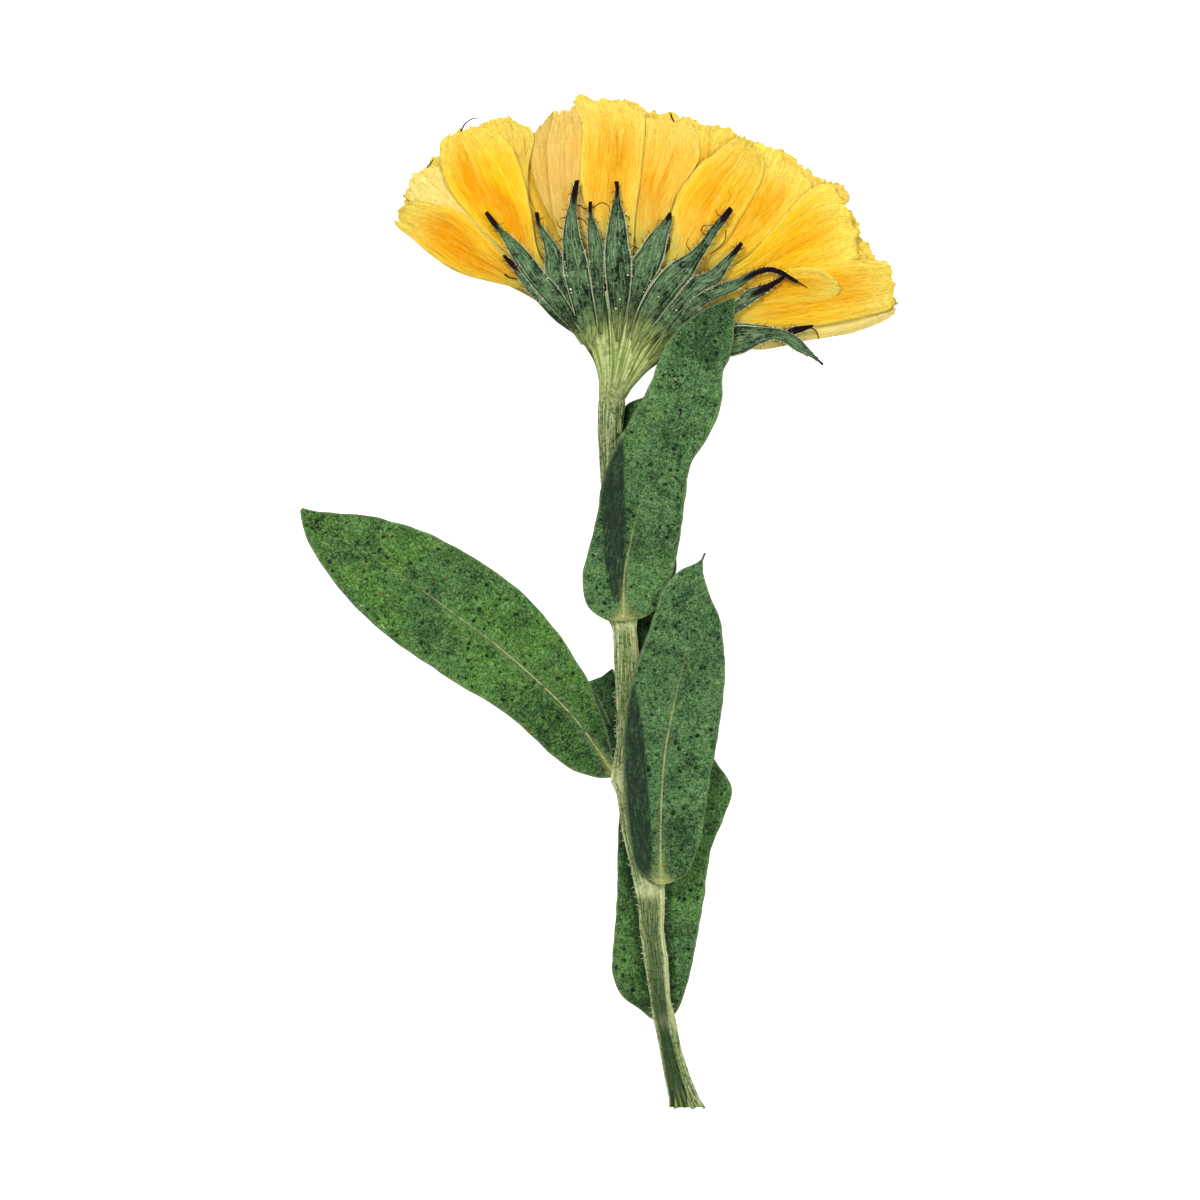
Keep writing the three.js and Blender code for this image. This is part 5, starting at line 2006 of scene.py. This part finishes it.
@dataclass(frozen=True)
class PlainFinish:
    """A finish of one colour with darker places.

    Attributes:
        name: the material's name.
        colour: its colour.
        deep: the colour of its darker places.
    """

    name: str
    colour: Colour
    deep: Colour

    def make(self) -> bpy.types.Material:
        """Makes the material.

        Returns:
            The material.
        """
        n = Nodes(self.name)
        blotch = n.cloud(n.place(), scale=1200.0, detail=3.0)
        colour = n.mix(blotch.over(0.3, 0.7), self.colour, self.deep)
        n.surface(colour, roughness=0.7, height=None, depth=0.0, gloss=0.2)
        return n.material


DISC_FINISH = PlainFinish("disc", paint(186, 120, 34), paint(132, 74, 20))


class Shade(Enum):
    """Which finish a small mark has, by its piece's name."""

    DARK = "marks_dark"
    RUST = "marks_rust"
    # Lines of painted shade along the petals' creases
    PAINTED_CREASE_SHADE = "marks_gold"
    PALE = "marks_pale"


SHADE_FINISHES = {
    Shade.DARK: PlainFinish("mark_dark", paint(34, 22, 24), paint(22, 18, 18)),
    Shade.RUST: PlainFinish("mark_rust", paint(120, 58, 14), paint(78, 34, 16)),
    # The darker gold of the painted crease shade
    Shade.PAINTED_CREASE_SHADE: PlainFinish("mark_painted_crease_shade", paint(220, 160, 40), paint(196, 128, 20)),
    Shade.PALE: PlainFinish("mark_pale", paint(228, 230, 206), paint(190, 200, 160)),
}


# Thin curls, scratches, and lines of painted shade along creases: diameters at the start and at the end, in
# millimetres, and the way
MARKS = {
    # Curls at the petals' tips and the bracts' ends, specks on the stem, frayed ends, scratches on the
    # leaves, and the painted shade of a hole in a leaf's axil
    Shade.DARK: (
        (0.22, 0.12, ((-16.7, 56.3), (-16.2, 57.2), (-15.3, 57.8), (-14.5, 57.9))),
        (0.2, 0.1, ((-20.8, 52.0), (-20.4, 52.5), (-20.0, 53.0))),
        (0.22, 0.14, ((8.5, 58.5), (8.7, 57.9), (8.9, 57.4))),
        (0.22, 0.08, ((23.5, 38.2), (24.2, 37.85), (24.9, 37.4))),
        (0.2, 0.08, ((25.0, 32.7), (25.9, 32.3), (26.3, 31.2))),
        (0.16, 0.06, ((3.0, 46.0), (3.5, 45.8), (3.5, 45.3))),
        (0.14, 0.06, ((3.4, 43.9), (4.1, 43.4), (4.2, 42.8))),
        (0.16, 0.08, ((3.8, 42.4), (4.5, 42.1), (4.6, 41.6))),
        (0.26, 0.12, ((-11.4, 39.0), (-10.9, 38.6), (-9.8, 38.4))),
        (0.2, 0.1, ((12.8, 30.8), (12.2, 30.2), (11.8, 29.5))),
        (0.16, 0.1, ((2.6, 22.2), (2.65, 21.2))),
        (0.18, 0.1, ((2.15, 20.0), (2.0, 19.4))),
        (0.16, 0.08, ((8.7, -58.9), (8.9, -60.0), (8.8, -60.9))),
        (0.18, 0.08, ((9.9, -58.2), (10.3, -59.4), (10.4, -60.6))),
        (0.3, 0.16, ((8.9, 14.8), (9.4, 14.3), (9.9, 13.8))),
        (0.3, 0.16, ((9.5, 22.9), (9.75, 22.4), (9.4, 22.0), (9.75, 21.6))),
        (0.3, 0.18, ((9.0, 26.1), (9.4, 25.7))),
        (0.14, 0.08, ((9.8, 14.0), (9.7, 12.4), (9.4, 10.6), (9.1, 8.4))),
        (0.12, 0.06, ((8.9, 12.6), (8.8, 11.2), (8.4, 10.2))),
        (0.16, 0.08, ((-35.2, 9.8), (-33.9, 9.6), (-32.6, 9.0))),
        (0.14, 0.08, ((-34.2, 8.8), (-32.4, 8.4), (-30.4, 7.8))),
        (0.14, 0.08, ((-33.4, 7.8), (-32.0, 8.8), (-30.8, 9.4))),
        # Painted shade: the dark hole in the axil beside the stem, below the upper front leaf's base
        (0.5, 0.3, ((5.7, -2.8), (5.8, -3.2))),
        (0.1, 0.06, ((0.2, -9.6), (1.2, -13.0), (1.8, -17.0))),
        (0.1, 0.06, ((0.9, -9.0), (1.8, -12.0), (2.1, -15.0))),
    ),
    # Brown hairs between the dark tips, and rusty marks
    Shade.RUST: (
        (0.2, 0.1, ((-2.7, 47.3), (-2.2, 47.2), (-1.8, 46.8), (-1.3, 47.0))),
        (0.16, 0.08, ((-2.7, 45.7), (-2.1, 45.6), (-1.4, 44.8))),
        (0.16, 0.06, ((-0.9, 46.9), (0.2, 47.6), (1.0, 47.2), (1.2, 46.4))),
        (0.14, 0.06, ((-4.4, 44.4), (-5.0, 44.8), (-5.2, 45.6))),
        (0.12, 0.05, ((-4.4, 43.2), (-5.2, 43.0), (-5.8, 43.5))),
        (0.14, 0.06, ((12.7, 43.6), (12.1, 44.2), (12.5, 44.9), (13.2, 44.8))),
        (0.14, 0.06, ((10.8, 41.8), (10.3, 42.6), (10.6, 43.3))),
        (0.14, 0.06, ((14.6, 45.9), (14.0, 46.3), (13.9, 46.8))),
        (0.12, 0.05, ((17.4, 37.4), (18.1, 36.7), (18.0, 35.9))),
        (0.12, 0.06, ((15.1, 44.3), (15.0, 43.2), (14.3, 42.2), (13.1, 41.4))),
        (0.16, 0.1, ((8.3, 15.2), (8.9, 14.7), (9.3, 14.3))),
    ),
    # Painted shade along the creases and fold edges of the petals, as darker gold lines
    Shade.PAINTED_CREASE_SHADE: (
        (0.1, 0.06, ((24.6, 40.1), (26.6, 39.9), (28.3, 39.0), (29.2, 37.6))),
        (0.08, 0.05, ((15.8, 41.6), (18.4, 44.6), (21.0, 47.8))),
        (0.08, 0.05, ((19.0, 52.8), (18.0, 51.0), (17.2, 48.6))),
        (0.08, 0.05, ((-2.3, 57.0), (-2.2, 53.0), (-2.4, 49.6))),
        (0.08, 0.05, ((-8.2, 55.6), (-8.5, 52.4), (-7.9, 48.4), (-6.6, 43.6))),
        (0.08, 0.05, ((-22.6, 47.3), (-18.6, 44.4), (-15.0, 41.8))),
        (0.08, 0.05, ((18.4, 54.6), (17.5, 53.6), (16.8, 52.4), (16.3, 50.6))),
        (0.08, 0.05, ((-12.0, 55.6), (-9.6, 53.0), (-8.7, 49.4), (-7.7, 44.6))),
        (0.08, 0.05, ((12.0, 55.2), (12.3, 53.4), (12.0, 51.8))),
    ),
    # Pale fibres and scratches
    Shade.PALE: (
        (0.12, 0.06, ((10.6, -58.4), (11.2, -59.6), (12.0, -60.6))),
        (0.22, 0.12, ((8.9, 26.5), (9.1, 26.2))),
        (0.1, 0.05, ((8.6, 9.6), (9.0, 8.4), (9.0, 7.6))),
        (0.12, 0.06, ((-26.3, -2.9), (-25.7, -3.5), (-25.0, -3.2), (-24.2, -3.4), (-23.4, -3.2),
                       (-23.0, -4.0))),
        (0.1, 0.05, ((-25.2, -3.8), (-24.6, -3.6), (-24.0, -4.0), (-23.6, -3.7))),
        (0.16, 0.1, ((-28.9, -0.6), (-28.2, -0.8))),
        (0.14, 0.08, ((-27.8, 9.2), (-27.6, 8.9))),
        (0.12, 0.06, ((-26.9, 7.9), (-26.3, 7.7), (-26.4, 7.2))),
        (0.12, 0.06, ((-27.2, 6.4), (-26.6, 6.1))),
    ),
}
# White and pale beads: x, y, radius
BEADS = (
    (-3.5, 37.1, 0.17), (-3.4, 36.7, 0.12), (-4.2, 40.4, 0.1), (1.0, 35.7, 0.14), (2.4, 35.9, 0.13),
    (1.9, 34.8, 0.13), (3.3, 38.8, 0.14), (0.4, 36.4, 0.1), (14.2, 48.2, 0.16), (7.0, 36.2, 0.12),
    (12.9, 44.9, 0.13), (5.2, 36.8, 0.1), (8.2, 33.9, 0.1), (-1.4, 37.6, 0.1), (9.1, 34.6, 0.12),
)


@dataclass(frozen=True)
class Hair:
    """One of the two kinds of hair along the bracts' edges.

    Attributes:
        shade: its finish.
        along: shares of an edge's length between which it grows.
        length: how long it is, for each millimetre of its drawn reach.
        thick: diameter at the root.
    """

    shade: Shade
    along: tuple[float, float]
    length: float
    thick: float


BROWN_HAIR = Hair(Shade.RUST, (0.55, 0.96), 0.75, 0.08)
PALE_HAIR = Hair(Shade.PALE, (0.35, 0.9), 0.32, 0.07)


@dataclass
class Down:
    """Fine hairs on the bracts and the stem, the small curls, scratches and beads, and lines of painted shade
    along the petals' creases.

    Attributes:
        chance: source of their places.
        cover: heights of all that the marks lie on.
        bracts: heights of the bracts and the cup.
        involucre: the bracts that carry the hairs.
        thin: diameter of a hair at its tip.
        edge_hairs, stem_hairs: how many hairs are tried along each edge of a bract, and the stem has.
        hidden: how much higher than a bract something else lies where it hides the bract's hairs.
        clear: height of a mark above what it lies on; the painted crease shade lies right on it.
        bead_lift: height of a bead's middle above what it lies on.
    """

    chance: random.Random
    cover: Cover
    bracts: Cover
    involucre: Involucre
    thin: float = 0.03
    edge_hairs: int = 30
    stem_hairs: int = 140
    hidden: float = 0.34
    clear: float = 0.1
    bead_lift: float = 0.14

    # Cells round a hair and along it, and the length of a mark for each of its cells
    ROUND = 6
    ALONG = 5
    MARK_CELL = 0.35
    SLOTS = {Shade.DARK: "bracts", Shade.RUST: "bracts", Shade.PAINTED_CREASE_SHADE: "petals", Shade.PALE: "stem"}
    # The stem's hairs grow between these heights of the picture, twice as often on the left
    STEM_SPAN = (-60.0, 22.0)
    STEM_SIDES = (-1.0, -1.0, 1.0)

    def __post_init__(self) -> None:
        """Starts one piece for each finish."""
        self.sheets = {shade: Sheets(shade.value, ()) for shade in Shade}

    def hair(self, shade: Shade, points: Sequence[Vector], thick: float, thin: float, along: int) -> None:
        """Adds one hair.

        Args:
            shade: its finish.
            points: its places from root to tip, in millimetres.
            thick, thin: diameters at the root and the tip.
            along: how many cells it has along it.
        """

        def place(u: float, v: float) -> Spot:
            """A point of the hair, as Shape gives it."""
            at = v * (len(points) - 1)
            i = min(len(points) - 2, int(at))
            middle = points[i].lerp(points[i + 1], at - i)
            way = (points[i + 1] - points[i]).normalized()
            side = way.cross(Vector((0, 0, 1)))
            side = side.normalized() if side.length > UPRIGHT else Vector((1, 0, 0))
            angle = round_angle(u)
            radius = (thick + (thin - thick) * v) / 2
            return middle + (side * math.cos(angle) + side.cross(way) * math.sin(angle)) * radius, {}

        self.sheets[shade].add(self.ROUND, along, place)

    def lay(self, shade: Shade, thick: float, thin: float, way: Sequence[Point]) -> None:
        """Adds a mark, laid on what is under it without dips.

        Args:
            shade: its finish.
            thick, thin: diameters at its start and its end.
            way: its points, seen from above.
        """
        line = Line(way)
        steps = max(4, int(line.length / self.MARK_CELL))
        # The painted crease shade lies right on the petals; other marks stand clear of what is under them
        above = 0.0 if shade is Shade.PAINTED_CREASE_SHADE else self.clear
        places = [line.at(i / steps) for i in range(steps + 1)]
        heights = [self.cover.height(flat) for flat in places]
        beside = min(height for height in heights if height > 0)
        points = [raised_to((height or beside) + above, flat) for flat, height in zip(places, heights)]
        for i in range(1, steps):
            points[i].z = max(points[i].z, (points[i - 1].z + points[i + 1].z) / 2)
        self.hair(shade, points, thick, thin, steps)

    def edge_hair(self, bract: Bract, edge: Line, side: float, kind: Hair, beaded: bool) -> None:
        """Adds one hair at a bract's edge, and a tiny bead beside some, where nothing hides them.

        Args:
            bract: which one.
            edge: its edge.
            side: -1 for the left edge and 1 for the right one.
            kind: the kind of hair.
            beaded: whether a bead goes with it near the bract's foot.
        """
        share = self.chance.uniform(*kind.along)
        root, way = edge.at(share), edge.way(share, 0.02)
        out = right_of(way) * side
        lean = self.chance.uniform(-0.6, 0.9)
        reach = (out * self.chance.uniform(0.3, 1.0) + way * lean) * kind.length
        inside = root - out * 0.1
        height = self.bracts.height(inside)
        top = self.involucre.rest(root, bract.raised) + self.hidden
        if height == 0 or self.cover.height(inside) > top:
            return
        height += 0.08
        middle = root + reach * 0.5 + way * lean * 0.15
        places = ((0.0, root), (0.14, middle), (0.05, root + reach))
        points = [raised_to(height + rise, flat) for rise, flat in places]
        self.hair(kind.shade, points, kind.thick, self.thin, self.ALONG)
        if beaded and share < 0.6:
            spot = root - out * self.chance.uniform(0.05, 0.25)
            bead = raised_to(self.bracts.height(spot) + 0.12, spot)
            self.sheets[Shade.PALE].bead(bead, self.chance.uniform(0.04, 0.08))

    def fringe(self, bract: Bract) -> None:
        """Adds the hairs and beads along both edges of a bract.

        Args:
            bract: which one.
        """
        for edge, side in ((Line(bract.left), -1.0), (Line(bract.right), 1.0)):
            for i in range(self.edge_hairs):
                kind = PALE_HAIR if i % 3 else BROWN_HAIR
                self.edge_hair(bract, edge, side, kind, kind is PALE_HAIR and i % 2 == 1)

    def stem_hair(self) -> None:
        """Adds one short hair at an edge of the stem."""
        y = self.chance.uniform(*self.STEM_SPAN)
        left, right, under, thick = Stem.section(y)
        side = self.chance.choice(self.STEM_SIDES)
        x = left + 0.05 if side < 0 else right - 0.05
        reach = self.chance.uniform(0.1, 0.4)
        z = under + thick / 2 + self.chance.uniform(-0.3, 0.5)
        drift = self.chance.uniform(-0.3, 0.3)
        points = [
            Vector((x, y, z)),
            Vector((x + side * reach * 0.5, y + drift * 0.4, z + 0.05)),
            Vector((x + side * reach, y + drift, z + 0.02)),
        ]
        self.hair(Shade.PALE, points, PALE_HAIR.thick, self.thin, self.ALONG)

    def build(self) -> list[bpy.types.Object]:
        """Makes them all, one piece of each shade.

        Returns:
            The pieces.
        """
        for bract in FRONT_BRACTS:
            self.fringe(bract)
        for shade, rows in MARKS.items():
            for row in rows:
                self.lay(shade, *row)
        for x, y, radius in BEADS:
            spot = Vector((x, y))
            self.sheets[Shade.PALE].bead(raised_to(self.cover.height(spot) + self.bead_lift, spot), radius)
        for _ in range(self.stem_hairs):
            self.stem_hair()
        pieces = []
        for shade, sheets in self.sheets.items():
            sheets.close(0.0005)
            piece = sheets.finish(SHADE_FINISHES[shade].make())
            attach(piece, ROOT_BODY)
            pieces.append(piece)
        return pieces


@dataclass(frozen=True)
class Lamp:
    """A soft square lamp aimed at the object.

    Attributes:
        name: its name.
        place: where it hangs, in millimetres.
        size: its width, in millimetres.
        power: in watts.
    """

    name: str
    place: tuple[float, float, float]
    size: float
    power: float

    def hang(self) -> None:
        """Adds the lamp to the scene."""
        light = bpy.data.lights.new(self.name, "AREA")
        light.size = self.size * MM
        light.energy = self.power
        lamp = bpy.data.objects.new(self.name, light)
        lamp.location = Vector(self.place) * MM
        lamp.rotation_euler = (-Vector(self.place)).to_track_quat("-Z", "Y").to_euler()
        bpy.context.scene.collection.objects.link(lamp)


@dataclass
class Studio:
    """White ground, soft light and a camera straight above.

    Attributes:
        picture: width of the picture at the object, in millimetres.
        distance: from the camera to the object, in millimetres.
        sensor: width of the camera's sensor, in millimetres.
        middle: height that the picture's width is measured at.
        near_and_far: distances between which the camera sees, in metres.
        ground: width of the ground, in millimetres.
        below: how far the ground lies under the object, in millimetres.
        sky: strength of the light from all sides.
    """

    picture: float = 144.0
    distance: float = 800.0
    sensor: float = 36.0
    middle: float = 3.0
    near_and_far: tuple[float, float] = (0.05, 20.0)
    ground: float = 6000.0
    below: float = 0.02
    sky: float = 0.38

    WHITE = (1.0, 1.0, 1.0, 1.0)
    LAMPS = (
        Lamp("window", (-260.0, 400.0, 680.0), 200.0, 4.4),
        Lamp("fill", (420.0, 60.0, 640.0), 500.0, 2.6),
    )

    def floor(self) -> None:
        """Makes the white ground, which shines a little so that no shadow greys it much."""
        n = Nodes("ground")
        sockets = {"Base Color": paint(200, 200, 200), "Roughness": 0.9, "Specular IOR Level": 0.1}
        n.show(sockets | {"Emission Color": self.WHITE, "Emission Strength": 1.0})
        sheets = Sheets("ground", ())
        half = self.ground / 2
        sheets.add(4, 4, lambda u, v: (Vector((u * half, (2 * v - 1) * half, -self.below)), {}))
        sheets.finish(n.material)

    def camera(self) -> None:
        """Makes the camera and makes it the scene's own."""
        lens = bpy.data.cameras.new("camera")
        lens.sensor_width = self.sensor
        lens.lens = self.sensor * self.distance / self.picture
        lens.clip_start, lens.clip_end = self.near_and_far
        camera = bpy.data.objects.new("camera", lens)
        camera.location = Vector((0.0, 0.0, self.middle + self.distance)) * MM
        bpy.context.scene.collection.objects.link(camera)
        bpy.context.scene.camera = camera

    def build(self) -> None:
        """Makes the ground, the sky, the lamps and the camera."""
        self.floor()
        world = bpy.data.worlds.new("sky")
        world.use_nodes = True
        world.node_tree.nodes["Background"].inputs["Color"].default_value = self.WHITE
        world.node_tree.nodes["Background"].inputs["Strength"].default_value = self.sky
        bpy.context.scene.world = world
        for lamp in self.LAMPS:
            lamp.hang()
        self.camera()
        bpy.context.scene.view_settings.view_transform = "Standard"


def main() -> None:
    """Builds the object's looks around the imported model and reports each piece."""
    logging.basicConfig(level=logging.INFO, format="%(name)s: %(message)s")
    for item in list(bpy.data.objects):
        bpy.data.objects.remove(item)
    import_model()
    chance = random.Random(SEED)
    rays, yellow = Rays(chance), PetalFinish().make()
    petals = rays.build(yellow)
    hidden = [rays.roots(yellow)]
    involucre = Involucre(chance)
    green = involucre.build(BractFinish().make(), CupFinish().make())
    hidden.append(Disc().build(DISC_FINISH.make()))
    stem = Stem().build(StemFinish().make())
    shown = [*petals, *green, stem, *Foliage(chance).build(LeafFinish().make())]
    down = Down(chance, Cover(shown), Cover(green), involucre).build()
    for piece in [*shown, *hidden, *down]:
        LOG.info("%s has %d faces", piece.name, len(piece.data.polygons))
    Studio().build()


if __name__ == "__main__":
    main()
